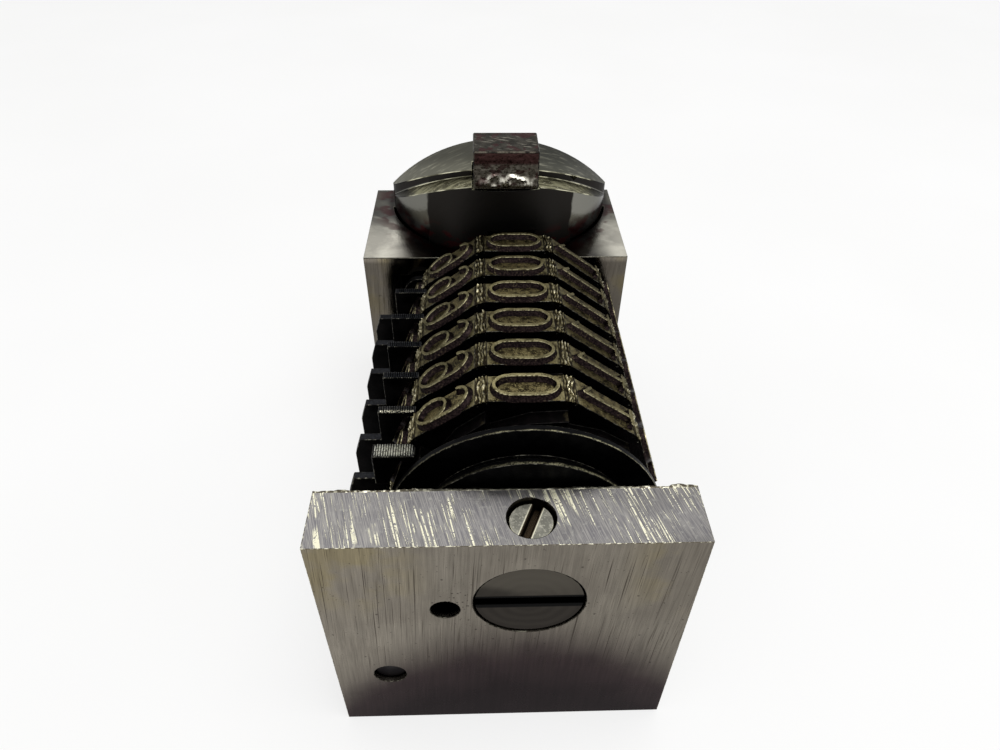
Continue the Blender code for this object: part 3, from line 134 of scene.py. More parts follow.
class Recipe:
    """A node material. Each call adds a node and gives back its output, in millimetres where it is a place."""

    def __init__(self, name):
        self.material = bpy.data.materials.new(name)
        self.material.use_nodes = True
        self.tree = self.material.node_tree
        self.shader = self.tree.nodes["Principled BSDF"]
        self.shader.inputs["Specular Tint"].default_value = EDGE_TINT
        coordinates = self.tree.nodes.new("ShaderNodeTexCoord")
        scale = self.tree.nodes.new("ShaderNodeVectorMath")
        scale.operation = "SCALE"
        scale.inputs["Scale"].default_value = 1 / MM
        self.tree.links.new(coordinates.outputs["Object"], scale.inputs[0])
        self.place = scale.outputs[0]
        self.normal = coordinates.outputs["Normal"]
        self.x, self.y, self.z = self.split(self.place)
        self.normal_x, _, self.normal_z = self.split(self.normal)
        self.nx, self.ny, self.nz = (self.math("ABSOLUTE", part) for part in self.split(self.normal))

    def feed(self, socket, value):
        if isinstance(value, bpy.types.NodeSocket):
            self.tree.links.new(value, socket)
        else:
            socket.default_value = value

    def split(self, vector):
        node = self.tree.nodes.new("ShaderNodeSeparateXYZ")
        self.feed(node.inputs[0], vector)
        return node.outputs[0], node.outputs[1], node.outputs[2]

    def math(self, operation, first, second=0.0):
        node = self.tree.nodes.new("ShaderNodeMath")
        node.operation = operation
        self.feed(node.inputs[0], first)
        self.feed(node.inputs[1], second)
        return node.outputs[0]

    def ramp(self, value, low, high, first=0.0, last=1.0):
        node = self.tree.nodes.new("ShaderNodeMapRange")
        node.interpolation_type = "SMOOTHSTEP"
        for socket, number in zip(node.inputs, (value, low, high, first, last)):
            self.feed(socket, number)
        return node.outputs[0]

    def shade(self, colour, factor):
        node = self.tree.nodes.new("ShaderNodeVectorMath")
        node.operation = "SCALE"
        self.feed(node.inputs[0], colour[:3] if isinstance(colour, tuple) else colour)
        self.feed(node.inputs["Scale"], factor)
        return node.outputs[0]

    def apart(self, value, middle):
        return self.math("ABSOLUTE", self.math("SUBTRACT", value, middle))

    def polar(self, first, second, centre):
        """Distance and angle round a centre in the plane of two coordinates."""
        across = self.math("SUBTRACT", first, centre[0])
        up = self.math("SUBTRACT", second, centre[1])
        radius = self.math("SQRT", self.math("ADD", self.both(across, across), self.both(up, up)))
        return radius, self.math("ARCTAN2", up, across)

    def facing_out(self, centre):
        """How squarely a surface faces away from a line along Y."""
        radius, _ = self.polar(self.x, self.z, centre)
        outward = self.math("ADD", self.both(self.math("SUBTRACT", self.x, centre[0]), self.normal_x),
                            self.both(self.math("SUBTRACT", self.z, centre[1]), self.normal_z))
        return self.math("DIVIDE", outward, radius)

    def mix(self, share, first, second):
        node = self.tree.nodes.new("ShaderNodeMix")
        node.data_type = "RGBA"
        self.feed(node.inputs[0], share)
        self.feed(node.inputs[6], first)
        self.feed(node.inputs[7], second)
        return node.outputs[2]

    def stretched(self, sizes, turn):
        """The place, divided by a grain's size along each axis and turned."""
        node = self.tree.nodes.new("ShaderNodeMapping")
        node.vector_type = "TEXTURE"
        node.inputs["Rotation"].default_value = turn
        node.inputs["Scale"].default_value = sizes
        self.feed(node.inputs["Vector"], self.place)
        return node.outputs[0]

    def grain(self, sizes, detail=3.0, turn=(0.0, 0.0, 0.0), waver=0.0):
        """Noise about 0.5, with grains of the given size along each axis."""
        node = self.tree.nodes.new("ShaderNodeTexNoise")
        node.inputs["Scale"].default_value = 1.0
        node.inputs["Detail"].default_value = detail
        node.inputs["Distortion"].default_value = waver
        self.feed(node.inputs["Vector"], self.stretched(sizes, turn))
        return node.outputs[0]

    def pits(self, sizes, randomness=1.0):
        """The distance to the nearest of scattered points, in grains."""
        node = self.tree.nodes.new("ShaderNodeTexVoronoi")
        node.inputs["Scale"].default_value = 1.0
        node.inputs["Randomness"].default_value = randomness
        self.feed(node.inputs["Vector"], self.stretched(sizes, (0.0, 0.0, 0.0)))
        return node.outputs["Distance"]

    def both(self, *shares):
        result = shares[0]
        for share in shares[1:]:
            result = self.math("MULTIPLY", result, share)
        return result

    def either(self, *shares):
        result = shares[0]
        for share in shares[1:]:
            result = self.math("MAXIMUM", result, share)
        return result

    def blot(self, centre, sizes, soft=0.5):
        """1 inside an ellipsoid, falling to 0 outside it."""
        terms = []
        for value, middle, size in zip((self.x, self.y, self.z), centre, sizes):
            away = self.math("DIVIDE", self.math("SUBTRACT", value, middle), size)
            terms.append(self.math("MULTIPLY", away, away))
        total = self.math("ADD", self.math("ADD", terms[0], terms[1]), terms[2])
        return self.ramp(total, 1.0 - soft, 1.0 + soft, 1.0, 0.0)

    def finish(self, colour, metallic, roughness, height=None, depth=0.0):
        """Sets the shader. The height is in shares of the depth, and the depth is in millimetres."""
        self.feed(self.shader.inputs["Base Color"], colour)
        self.feed(self.shader.inputs["Metallic"], metallic)
        self.feed(self.shader.inputs["Roughness"], roughness)
        if height is not None:
            bump = self.tree.nodes.new("ShaderNodeBump")
            bump.inputs["Strength"].default_value = 1.0
            bump.inputs["Distance"].default_value = depth * MM
            self.feed(bump.inputs["Height"], height)
            self.tree.links.new(bump.outputs[0], self.shader.inputs["Normal"])
        return self.material


def case_steel():
    """Ground steel: fine brushing, long scratches on the front wall's top, a painted reflection of the table dark low
    on its front, small pits.
    """
    r = Recipe("case_steel")
    front = r.ramp(r.ny, 0.6, 0.8)
    upright = r.either(front, r.ramp(r.nx, 0.6, 0.8))
    foremost = r.both(front, r.ramp(r.y, CASE_FRONT + 0.3, CASE_FRONT + 0.2))
    elsewhere = r.math("SUBTRACT", 1.0, foremost)
    top = r.ramp(r.nz, 0.6, 0.8)
    block = r.ramp(r.y, 0.0, 2.0)
    wall_top = r.both(top, r.ramp(r.z, 18.0, 19.0), r.ramp(r.y, -15.0, -16.0))
    cloud = r.grain((3.0, 3.0, 3.0), 4.0)
    fine = r.grain((0.12, 0.12, 0.12), 3.0)

    # The front is painted dark below a dome whose top is under the shaft's head: a painted reflection of the table
    away = r.math("SUBTRACT", r.x, 1.0)
    dome = r.math("SUBTRACT", r.math("ADD", r.z, r.both(away, away, 0.05)), r.both(r.math("SUBTRACT", cloud, 0.5), 3.0))
    colour = r.mix(r.ramp(cloud, 0.3, 0.7), srgb(112, 106, 97), srgb(126, 120, 110))
    colour = r.shade(colour, r.ramp(r.x, -2.0, -8.0, 1.0, 1.22))
    stain = r.both(r.ramp(r.z, 12.0, 17.0), r.ramp(r.apart(r.x, 1.0), 4.5, 9.0), r.ramp(cloud, 0.42, 0.62, 0.0, 0.55))
    colour = r.mix(r.both(stain, upright), colour, srgb(128, 116, 78))
    grubby = r.both(upright, elsewhere, r.ramp(r.grain((4.0, 4.0, 9.0), 5.0), 0.40, 0.75, 0.0, 0.45))
    colour = r.mix(grubby, colour, srgb(74, 66, 58))
    colour = r.mix(r.both(foremost, r.ramp(dome, 14.0, 7.5)), colour, srgb(52, 42, 43))
    colour = r.mix(r.both(foremost, r.ramp(dome, 9.0, 3.0)), colour, srgb(31, 23, 25))
    brushing = r.grain((0.055, 0.055, 2.2), 4.0, (0.0, math.radians(3), 0.0))
    worked = r.both(upright, r.ramp(r.grain((2.5, 2.5, 2.5), 2.0), 0.35, 0.65, 0.4, 1.0))
    colour = r.shade(colour, r.math("ADD", 1.0, r.both(worked, r.ramp(brushing, 0.3, 0.7, -0.16, 0.16))))
    broad = r.grain((0.22, 0.22, 7.0), 3.0, (0.0, math.radians(2), 0.0))
    colour = r.shade(colour, r.math("ADD", 1.0, r.both(upright, r.ramp(broad, 0.3, 0.7, -0.10, 0.10))))
    streak = r.ramp(r.grain((0.085, 0.085, 4.5), 2.0, (0.0, math.radians(4), 0.0), 0.15), 0.60, 0.70)
    streak = r.both(streak, upright, r.either(elsewhere, r.ramp(r.z, 3.0, 12.0)),
                    r.ramp(cloud, 0.35, 0.6, 0.25, 0.7))
    colour = r.mix(streak, colour, srgb(64, 57, 48))
    hair = r.ramp(r.grain((0.07, 0.07, 10.0), 1.0, (0.0, math.radians(3), 0.0), 0.1), 0.66, 0.71)
    hair = r.both(hair, foremost, r.ramp(r.z, 5.0, 9.0), r.ramp(r.z, 19.6, 17.5), 0.8)
    colour = r.mix(hair, colour, srgb(50, 43, 38))

    grinding = r.grain((0.05, 1.6, 0.3), 4.0, (0.0, 0.0, math.radians(16)))
    land = r.mix(r.ramp(grinding, 0.35, 0.65), srgb(118, 116, 119), srgb(158, 155, 151))
    land = r.shade(land, r.both(r.ramp(cloud, 0.3, 0.7, 0.88, 1.12), r.ramp(r.x, -9.0, 6.0, 1.08, 0.92)))
    land = r.mix(r.ramp(r.grain((0.3, 0.3, 0.3), 3.0), 0.56, 0.72, 0.0, 0.5), land, srgb(176, 175, 168))
    colour = r.mix(wall_top, colour, land)
    wide = r.grain((0.11, 5.0, 0.8), 1.0, (0.0, 0.0, math.radians(15)), 0.25)
    thin = r.grain((0.06, 2.0, 0.5), 2.0, (0.0, 0.0, math.radians(19)), 0.4)
    patches = r.grain((1.6, 2.4, 1.6), 2.0)
    scratch = r.either(r.both(r.ramp(wide, 0.60, 0.63), r.ramp(patches, 0.40, 0.50)),
                       r.both(r.ramp(thin, 0.65, 0.68), r.ramp(patches, 0.46, 0.56)))
    scratch = r.both(scratch, r.ramp(r.grain((0.12, 0.12, 0.12), 2.0), 0.34, 0.48), wall_top)
    colour = r.mix(scratch, colour, srgb(250, 246, 218))

    block_top = r.both(block, top)
    smear = r.grain((2.2, 0.5, 0.8), 4.0, (0.0, 0.0, math.radians(-30)))
    shade = r.mix(r.ramp(cloud, 0.35, 0.65), srgb(66, 65, 63), srgb(98, 97, 90))
    shade = r.mix(r.ramp(smear, 0.56, 0.72, 0.0, 0.4), shade, srgb(150, 148, 138))
    corners = r.both(r.ramp(r.apart(r.x, 1.0), 7.0, 10.0), r.ramp(r.y, 16.0, 11.0), r.ramp(cloud, 0.35, 0.6, 0.5, 0.9))
    shade = r.mix(corners, shade, srgb(226, 222, 208))
    colour = r.mix(block_top, colour, shade)
    round_plunger, _ = r.polar(r.x, r.y, PLUNGER_AXIS)
    ink = r.both(block_top, r.ramp(round_plunger, 12.5, 10.2), r.ramp(r.grain((1.3, 1.3, 1.3), 3.0), 0.46, 0.58))
    colour = r.mix(r.both(ink, 0.75), colour, srgb(64, 36, 38))
    spilt = r.both(block_top, r.ramp(r.math("ADD", r.y, r.both(cloud, 2.0)), 13.5, 10.5), r.ramp(r.apart(r.x, 0.0), 9.5, 6.0))
    colour = r.mix(r.both(spilt, 0.85), colour, srgb(34, 24, 25))
    # Painted shade on the block's top, in a ring round the plunger's gap
    colour = r.mix(r.both(block_top, r.ramp(round_plunger, 10.5, 9.9), 0.7), colour, srgb(30, 28, 28))
    bay = r.both(r.ramp(r.y, -16.7, -16.4), r.ramp(r.y, 8.4, 8.1), r.ramp(r.z, 19.9, 19.5))
    colour = r.mix(r.both(bay, 0.7), colour, srgb(46, 43, 38))

    by_head, _ = r.polar(r.x, r.z, (WHEEL_AXIS[0] - 3.9, WHEEL_AXIS[1] + 0.6))
    pit = r.both(r.ramp(r.pits((1.1, 1.1, 1.1)), 0.04, 0.09, 1.0, 0.0), upright, 0.6)
    peppered = r.ramp(r.pits((0.26, 0.26, 0.26)), 0.16, 0.28, 0.8, 0.0)
    pit = r.either(pit, r.both(peppered, front, r.ramp(by_head, 1.9, 0.7)))
    nick = r.ramp(r.grain((0.16, 0.16, 0.25), 1.0), 0.74, 0.78, 0.0, 0.6)
    colour = r.mix(r.either(pit, r.both(nick, upright)), colour, srgb(38, 33, 30))
    # Painted shade: the walls of the lock screw's hole are dark
    screw_hole, _ = r.polar(r.x, r.y, SCREW_AXIS)
    colour = r.mix(r.both(r.ramp(screw_hole, 1.45, 1.36), r.ramp(r.nz, 0.9, 0.5)), colour, srgb(26, 24, 22))
    # Painted shade: the walls of the bores through the front wall are near black
    painted_bore_shade = r.both(r.ramp(r.y, -20.26, -20.05), r.ramp(r.y, -16.4, -16.7), r.ramp(r.ny, 0.5, 0.2), r.ramp(r.z, 18.6, 18.2))
    painted_bore_shade = r.both(painted_bore_shade, r.ramp(r.apart(r.x, 0.0), 10.8, 10.5))
    colour = r.mix(painted_bore_shade, colour, srgb(12, 12, 12))
    height = r.math("ADD", r.both(upright, brushing, 0.3), r.both(top, grinding, 0.5))
    height = r.math("SUBTRACT", height, r.both(scratch, 1.2))
    roughness = r.mix(block, r.ramp(cloud, 0.3, 0.7, 0.20, 0.32), r.ramp(fine, 0.3, 0.7, 0.07, 0.16))
    return r.finish(colour, 1.0, roughness, height, 0.012)


def bright_edge():
    """The case's edges: rubbed bright in front, uneven, worn away along the middle of the rear edge, dull at holes."""
    r = Recipe("bright_edge")
    nicks = r.grain((0.22, 0.22, 0.22), 3.0)
    colour = r.mix(r.ramp(nicks, 0.46, 0.64), srgb(88, 82, 70), srgb(236, 232, 208))
    bay = r.both(r.ramp(r.y, -17.2, -16.9), r.ramp(r.apart(r.x, 1.0), 7.5, 5.0), 0.85)
    rear = r.both(r.ramp(r.y, -16.0, -14.0), 0.95)
    colour = r.mix(r.either(bay, rear), colour, r.mix(nicks, srgb(36, 35, 33), srgb(92, 90, 80)))
    screw_hole, _ = r.polar(r.x, r.y, SCREW_AXIS)
    inner = r.both(r.ramp(r.y, -20.0, -20.2), r.ramp(r.z, 19.7, 19.4), r.ramp(r.apart(r.x, 0.0), 10.75, 10.6), 0.9)
    sunk = r.both(r.ramp(r.y, 8.0, 8.5), r.ramp(r.z, 22.9, 22.5), r.ramp(r.apart(r.x, 0.5), 4.5, 4.0))
    ring = r.ramp(screw_hole, 1.6, 1.5)
    colour = r.mix(r.either(inner, sunk, ring), colour, srgb(34, 31, 28))
    return r.finish(colour, 1.0, 0.26, nicks, 0.02)


def polished_edge():
    """Edges of the screws and of the plunger's ledge and crown: rubbed bright in places."""
    r = Recipe("polished_edge")
    nicks = r.grain((1.6, 0.8, 0.8), 2.0)
    colour = r.mix(r.ramp(nicks, 0.34, 0.66), srgb(92, 90, 74), srgb(206, 203, 176))
    plunger = r.ramp(r.y, 0.0, 2.0)
    ends = r.ramp(r.apart(r.x, PLUNGER_AXIS[0]), LEDGE_REACH - 0.2, LEDGE_REACH + 0.6)
    low = r.either(r.ramp(above_ledge(r), -0.15, -0.30), ends)
    colour = r.mix(r.both(plunger, low), colour, srgb(24, 23, 22))
    # The bevels across the lock screw's slot are brown with grime and painted shade, like the slot
    slot = r.both(r.ramp(across_slot(r), 0.36, 0.33), r.ramp(r.y, 0.0, -2.0))
    colour = r.mix(slot, colour, srgb(40, 34, 27))
    return r.finish(colour, 1.0, 0.26, nicks, 0.015)


def across_slot(r):
    """The distance from the middle of the lock screw's slot."""
    across = r.math("SUBTRACT", r.both(r.math("SUBTRACT", r.x, SCREW_AXIS[0]), math.sin(SCREW_SLOT_TURN)),
                    r.both(r.math("SUBTRACT", r.y, SCREW_AXIS[1]), math.cos(SCREW_SLOT_TURN)))
    return r.math("ABSOLUTE", across)


def above_ledge(r):
    """How far a place is above the arched ledge of the plunger."""
    arch, _ = r.polar(r.x, r.z, (PLUNGER_AXIS[0], LEDGE_TOP - LEDGE_ARCH))
    return r.math("SUBTRACT", arch, LEDGE_ARCH)


def black_steel():
    """Blackened steel, darkest on its sides, with a painted bluish sheen on upward faces high up, and a few rubbed
    spots.
    """
    r = Recipe("black_steel")
    cloud = r.grain((1.2, 1.2, 1.2), 4.0)
    fine = r.grain((0.10, 0.10, 0.10), 3.0)
    colour = r.mix(r.ramp(cloud, 0.35, 0.7), srgb(13, 13, 13), srgb(23, 22, 22))
    colour = r.mix(r.ramp(fine, 0.68, 0.74, 0.0, 0.35), colour, srgb(74, 70, 58))
    # Painted sheen: upward faces above the wheels' axis are a lighter bluish grey
    painted_top_sheen = r.both(r.ramp(r.nz, 0.75, 0.95), r.ramp(r.z, 15.0, 16.5), r.ramp(fine, 0.35, 0.65, 0.35, 1.0))
    colour = r.mix(painted_top_sheen, colour, srgb(44, 45, 48))
    return r.finish(colour, 1.0, r.ramp(cloud, 0.3, 0.7, 0.34, 0.48), fine, 0.006)


def black_edge():
    """The same steel where handling has taken the black off parts of its edges."""
    r = Recipe("black_edge")
    rubbed = r.grain((0.35, 0.35, 0.35), 3.0)
    fine = r.grain((0.07, 0.07, 0.07), 2.0)
    radius, _ = r.polar(r.x, r.z, WHEEL_AXIS)
    ratchet = r.both(r.ramp(radius, 8.15, 8.0), r.ramp(r.y, CASE_FRONT + 6.2, CASE_FRONT + 6.4))
    bare = r.both(r.ramp(rubbed, 0.44, 0.62), r.ramp(fine, 0.38, 0.56), r.math("SUBTRACT", 1.0, r.both(ratchet, 0.85)))
    colour = r.mix(bare, srgb(24, 23, 23), srgb(104, 102, 92))
    return r.finish(colour, 1.0, 0.36, rubbed, 0.01)


def cheek_steel():
    """The turned cheek: dark faces and grooves, and rims whose outer sides are worn bare, painted as a thin bright
    highlight on each rim's front half that grows brighter towards the right.
    """
    r = Recipe("cheek_steel")
    radius, _ = r.polar(r.x, r.z, WHEEL_AXIS)
    out = r.ramp(r.facing_out(WHEEL_AXIS), 0.6, 0.85)
    fine = r.grain((0.10, 0.10, 0.10), 4.0)
    rings = r.grain((0.6, 0.05, 0.6), 3.0)
    # Painted highlight: the rims' bright line, on their front halves only, grows brighter towards the right
    right = r.ramp(r.x, -3.0, 4.0)
    bare = r.mix(r.ramp(fine, 0.36, 0.60), srgb(34, 34, 29), r.mix(right, srgb(104, 100, 80), srgb(186, 181, 146)))
    wave = r.both(r.grain((0.9, 0.9, 0.9), 2.0), 0.3)
    first_half = r.ramp(r.math("ADD", r.y, wave), CASE_FRONT + REAR_RIM_MIDDLE + 0.08, CASE_FRONT + REAR_RIM_MIDDLE - 0.04)
    rear_rim = r.both(out, r.ramp(radius, 8.5, 8.6), first_half)
    first_half = r.ramp(r.math("ADD", r.y, wave), CASE_FRONT + FRONT_RIM_MIDDLE + 0.18, CASE_FRONT + FRONT_RIM_MIDDLE)
    front_rim = r.both(out, r.ramp(radius, 7.05, 7.1), r.ramp(radius, 7.5, 7.3), first_half,
                       r.math("ADD", r.both(right, 0.6), 0.4))
    speck = r.both(out, r.ramp(radius, 7.05, 7.0), right, r.ramp(fine, 0.58, 0.68), 0.8)
    colour = r.mix(r.ramp(rings, 0.35, 0.7), srgb(12, 12, 13), srgb(21, 21, 22))
    colour = r.mix(r.either(rear_rim, front_rim), colour, bare)
    colour = r.mix(speck, colour, srgb(96, 94, 78))
    return r.finish(colour, 1.0, r.ramp(fine, 0.3, 0.7, 0.30, 0.46), fine, 0.01)


def bronze(r, fine, cloud):
    """Wheel steel with ink and rust worn into it: yellowish, grainy and uneven."""
    colour = r.mix(r.ramp(cloud, 0.36, 0.62), srgb(40, 34, 22), srgb(114, 104, 72))
    colour = r.mix(r.ramp(fine, 0.54, 0.66, 0.0, 0.8), colour, srgb(158, 147, 104))
    return r.mix(r.ramp(fine, 0.46, 0.34, 0.0, 0.7), colour, srgb(28, 24, 19))


def dirt_and_painted_shade(r, colour):
    """Painted shade: darker on the facets turned away from the row of zeros, and towards the plunger, whose shadow
    falls on the rear wheels. Dirt: darker on the second and third wheels.
    """
    dirt = r.ramp(r.apart(r.y, DIRTY_MIDDLE), DIRTY_REACH, DIRTY_REACH + 1.4, 0.78, 1.0)
    beside = r.ramp(r.apart(r.x, WHEEL_AXIS[0]), 2.6, 4.8, 1.0, 0.70)
    return r.shade(colour, r.both(r.ramp(r.y, -14.0, 8.0, 1.0, 0.56), dirt, beside))


def wheel_steel():
    """Type wheels: black sides and teeth, and bronze-coloured lands that are brightest near the corners."""
    r = Recipe("wheel_steel")
    radius, turn = r.polar(r.x, r.z, WHEEL_AXIS)
    turned = r.math("FLOORED_MODULO", r.math("SUBTRACT", turn, FIRST_CORNER), FACET_TURN)
    offset = r.apart(turned, FACET_TURN / 2)
    height = r.math("SUBTRACT", r.both(radius, r.math("COSINE", offset)), LAND_APOTHEM)
    outer = r.ramp(r.facing_out(WHEEL_AXIS), 0.6, 0.85)
    land = r.both(outer, r.ramp(height, -0.24, -0.14))
    fine = r.grain((0.085, 0.085, 0.085), 4.0)
    cloud = r.grain((0.5, 0.5, 0.5), 4.0)
    corner = r.both(r.ramp(offset, math.radians(12), math.radians(15)), r.ramp(cloud, 0.35, 0.6, 0.0, 0.5))
    metal = dirt_and_painted_shade(r, r.mix(corner, bronze(r, fine, cloud), srgb(136, 130, 100)))
    tip = r.both(outer, r.ramp(radius, 7.84, 7.94), r.ramp(cloud, 0.45, 0.6), 0.6)
    black = r.mix(r.ramp(cloud, 0.4, 0.7), srgb(14, 13, 13), srgb(24, 20, 21))
    colour = r.mix(r.math("SUBTRACT", tip, land), black, srgb(70, 64, 46))
    colour = r.mix(land, colour, metal)
    return r.finish(colour, 1.0, r.ramp(fine, 0.3, 0.7, 0.34, 0.52), fine, 0.02)


def figure_top():
    r = Recipe("figure_top")
    fine = r.grain((0.09, 0.09, 0.09), 4.0)
    cloud = r.grain((0.6, 0.6, 0.6), 3.0)
    colour = r.mix(r.ramp(cloud, 0.3, 0.7), srgb(84, 78, 54), srgb(146, 137, 100))
    colour = r.mix(r.ramp(fine, 0.56, 0.68, 0.0, 0.7), colour, srgb(196, 188, 148))
    return r.finish(dirt_and_painted_shade(r, colour), 1.0, r.ramp(fine, 0.3, 0.7, 0.32, 0.48), fine, 0.014)


def figure_side():
    r = Recipe("figure_side")
    fine = r.grain((0.12, 0.12, 0.12), 3.0)
    cloud = r.grain((0.5, 0.5, 0.5), 2.0)
    colour = r.mix(r.ramp(fine, 0.35, 0.7), srgb(16, 12, 13), srgb(44, 35, 34))
    colour = r.mix(r.both(r.ramp(fine, 0.58, 0.68), r.ramp(cloud, 0.50, 0.66), 0.7), colour, srgb(96, 88, 62))
    return r.finish(colour, 1.0, 0.42, fine, 0.02)


def figure_edge():
    """The rim of a figure's face, where use keeps it bright."""
    r = Recipe("figure_edge")
    fine = r.grain((0.16, 0.16, 0.16), 3.0)
    colour = r.mix(r.ramp(fine, 0.36, 0.62), srgb(78, 72, 50), srgb(206, 197, 156))
    return r.finish(dirt_and_painted_shade(r, colour), 1.0, 0.32, fine, 0.01)


def rib_steel():
    """The frayed ribs at the corners: bright crests over dark valleys."""
    r = Recipe("rib_steel")
    radius, turn = r.polar(r.x, r.z, WHEEL_AXIS)
    turned = r.math("FLOORED_MODULO", r.math("SUBTRACT", turn, FIRST_CORNER - FACET_TURN / 2), FACET_TURN)
    height = r.math("SUBTRACT", r.both(radius, r.math("COSINE", r.apart(turned, FACET_TURN / 2))), RIB_APOTHEM)
    fine = r.grain((0.07, 0.07, 0.07), 4.0)
    colour = r.mix(r.ramp(height, 0.0, 0.10), srgb(38, 32, 22), srgb(160, 150, 112))
    colour = r.mix(r.both(r.ramp(fine, 0.44, 0.56), r.ramp(height, 0.05, 0.12)), colour, srgb(248, 242, 212))
    # Painted shade: the ribs are dimmer towards the right, where they face away
    colour = r.shade(colour, r.ramp(r.x, 5.5, 8.0, 1.0, 0.62))
    return r.finish(dirt_and_painted_shade(r, colour), 1.0, 0.34, fine, 0.02)


def ridge_steel():
    """The finger tabs' tops: black steel worn grey on its ridges, brightest on the first tab."""
    r = Recipe("ridge_steel")
    fine = r.grain((0.09, 0.09, 0.09), 3.0)
    crest = r.ramp(r.z, TAB_TOP + 0.01, TAB_TOP + RIDGE_RISE * 0.8)
    first = r.ramp(r.y, -11.8, -12.2)
    second = r.ramp(r.y, -8.0, -9.0)
    bare = r.mix(first, r.mix(second, srgb(56, 58, 62), srgb(92, 92, 90)), srgb(238, 238, 224))
    colour = r.mix(r.both(crest, r.ramp(fine, 0.34, 0.56)), r.mix(first, srgb(18, 18, 20), srgb(44, 44, 41)), bare)
    leading = r.both(r.ramp(r.apart(r.y, SECOND_TAB), 0.20, 0.12), r.ramp(fine, 0.44, 0.54))
    colour = r.mix(leading, colour, srgb(226, 222, 200))
    return r.finish(colour, 1.0, 0.36, fine, 0.01)


def turned_steel():
    """The shaft's head: faint rings from the lathe, painted lighter towards the top, and painted shade in and beside
    its slot and in the recesses behind its face.
    """
    r = Recipe("turned_steel")
    radius, _ = r.polar(r.x, r.z, WHEEL_AXIS)
    cloud = r.grain((2.0, 2.0, 2.0), 3.0)
    wave = r.math("SINE", r.math("ADD", r.both(radius, 9.0), r.both(cloud, 6.0)))
    # Painted shade: the head is lighter towards its top and darker below the axis
    colour = r.mix(r.ramp(r.math("ADD", r.z, r.both(cloud, 1.5)), 14.0, 17.5), srgb(50, 46, 42), srgb(76, 72, 65))
    colour = r.mix(r.ramp(wave, -1.0, 1.0, 0.0, 0.07), colour, srgb(100, 95, 86))
    slope = r.math("ADD", r.math("SUBTRACT", r.z, WHEEL_AXIS[1]), r.both(r.math("SUBTRACT", r.x, WHEEL_AXIS[0]), 0.3))
    smear = r.both(r.ramp(r.apart(slope, 0.15), 1.0, 0.2), r.ramp(r.x, 1.6, -0.6), 0.6)
    colour = r.mix(smear, colour, srgb(30, 28, 26))
    colour = r.shade(colour, r.ramp(r.z, WHEEL_AXIS[1] - 0.8, WHEEL_AXIS[1] + 0.4, 0.86, 1.0))
    # Painted shade: black in and beside the slot and on all faces behind the head's face
    painted_slot_shade = r.ramp(r.apart(r.z, WHEEL_AXIS[1] - 0.06), 0.66, 0.54)
    colour = r.mix(r.either(painted_slot_shade, r.ramp(r.y, -20.27, -20.2)), colour, srgb(9, 9, 9))
    return r.finish(colour, 1.0, 0.2, cloud, 0.004)


def shaft_end_steel():
    r = Recipe("shaft_end_steel")
    cloud = r.grain((0.9, 0.9, 0.9), 3.0)
    # Painted shade: the end is lighter towards its top and darker low down, and darker still deeper in its recess
    colour = r.mix(r.ramp(r.math("ADD", r.z, cloud), 6.6, 7.8), srgb(30, 28, 30), srgb(70, 67, 68))
    colour = r.mix(r.ramp(r.y, -19.9, -19.7), colour, srgb(20, 20, 20))
    return r.finish(colour, 1.0, 0.5, cloud, 0.01)


def dull_edge():
    r = Recipe("dull_edge")
    cloud = r.grain((0.4, 0.4, 0.4), 3.0)
    colour = r.mix(r.ramp(cloud, 0.4, 0.6), srgb(30, 28, 26), srgb(74, 70, 62))
    # Painted shade: the bevels along the shaft head's slot are black like the slot
    colour = r.mix(r.ramp(r.apart(r.z, WHEEL_AXIS[1]), 0.56, 0.44), colour, srgb(9, 9, 9))
    return r.finish(colour, 1.0, 0.32, cloud, 0.01)


def light_steel():
    """The lock screw: bright and speckled, with a painted highlight along the lips of its slot, and brown grime and
    painted shade in the slot.
    """
    r = Recipe("light_steel")
    cloud = r.grain((0.5, 0.5, 0.5), 3.0)
    fine = r.grain((0.09, 0.09, 0.09), 3.0)
    colour = r.mix(r.ramp(cloud, 0.35, 0.65), srgb(122, 121, 112), srgb(160, 158, 146))
    colour = r.mix(r.ramp(fine, 0.54, 0.68, 0.0, 0.6), colour, srgb(206, 203, 186))
    across = across_slot(r)
    # Painted highlight: a bright line along each lip of the slot
    colour = r.mix(r.ramp(across, 0.44, 0.38), colour, srgb(226, 222, 198))
    # Brown grime and painted shade in the slot and on the head next to it
    slot = r.either(r.ramp(r.z, SCREW_TOP - 0.06, SCREW_TOP - 0.2), r.ramp(across, 0.36, 0.33))
    slot = r.both(slot, r.ramp(r.z, 15.0, 16.0))
    colour = r.mix(slot, colour, r.mix(fine, srgb(26, 21, 17), srgb(74, 62, 48)))
    return r.finish(colour, 1.0, 0.3, fine, 0.012)


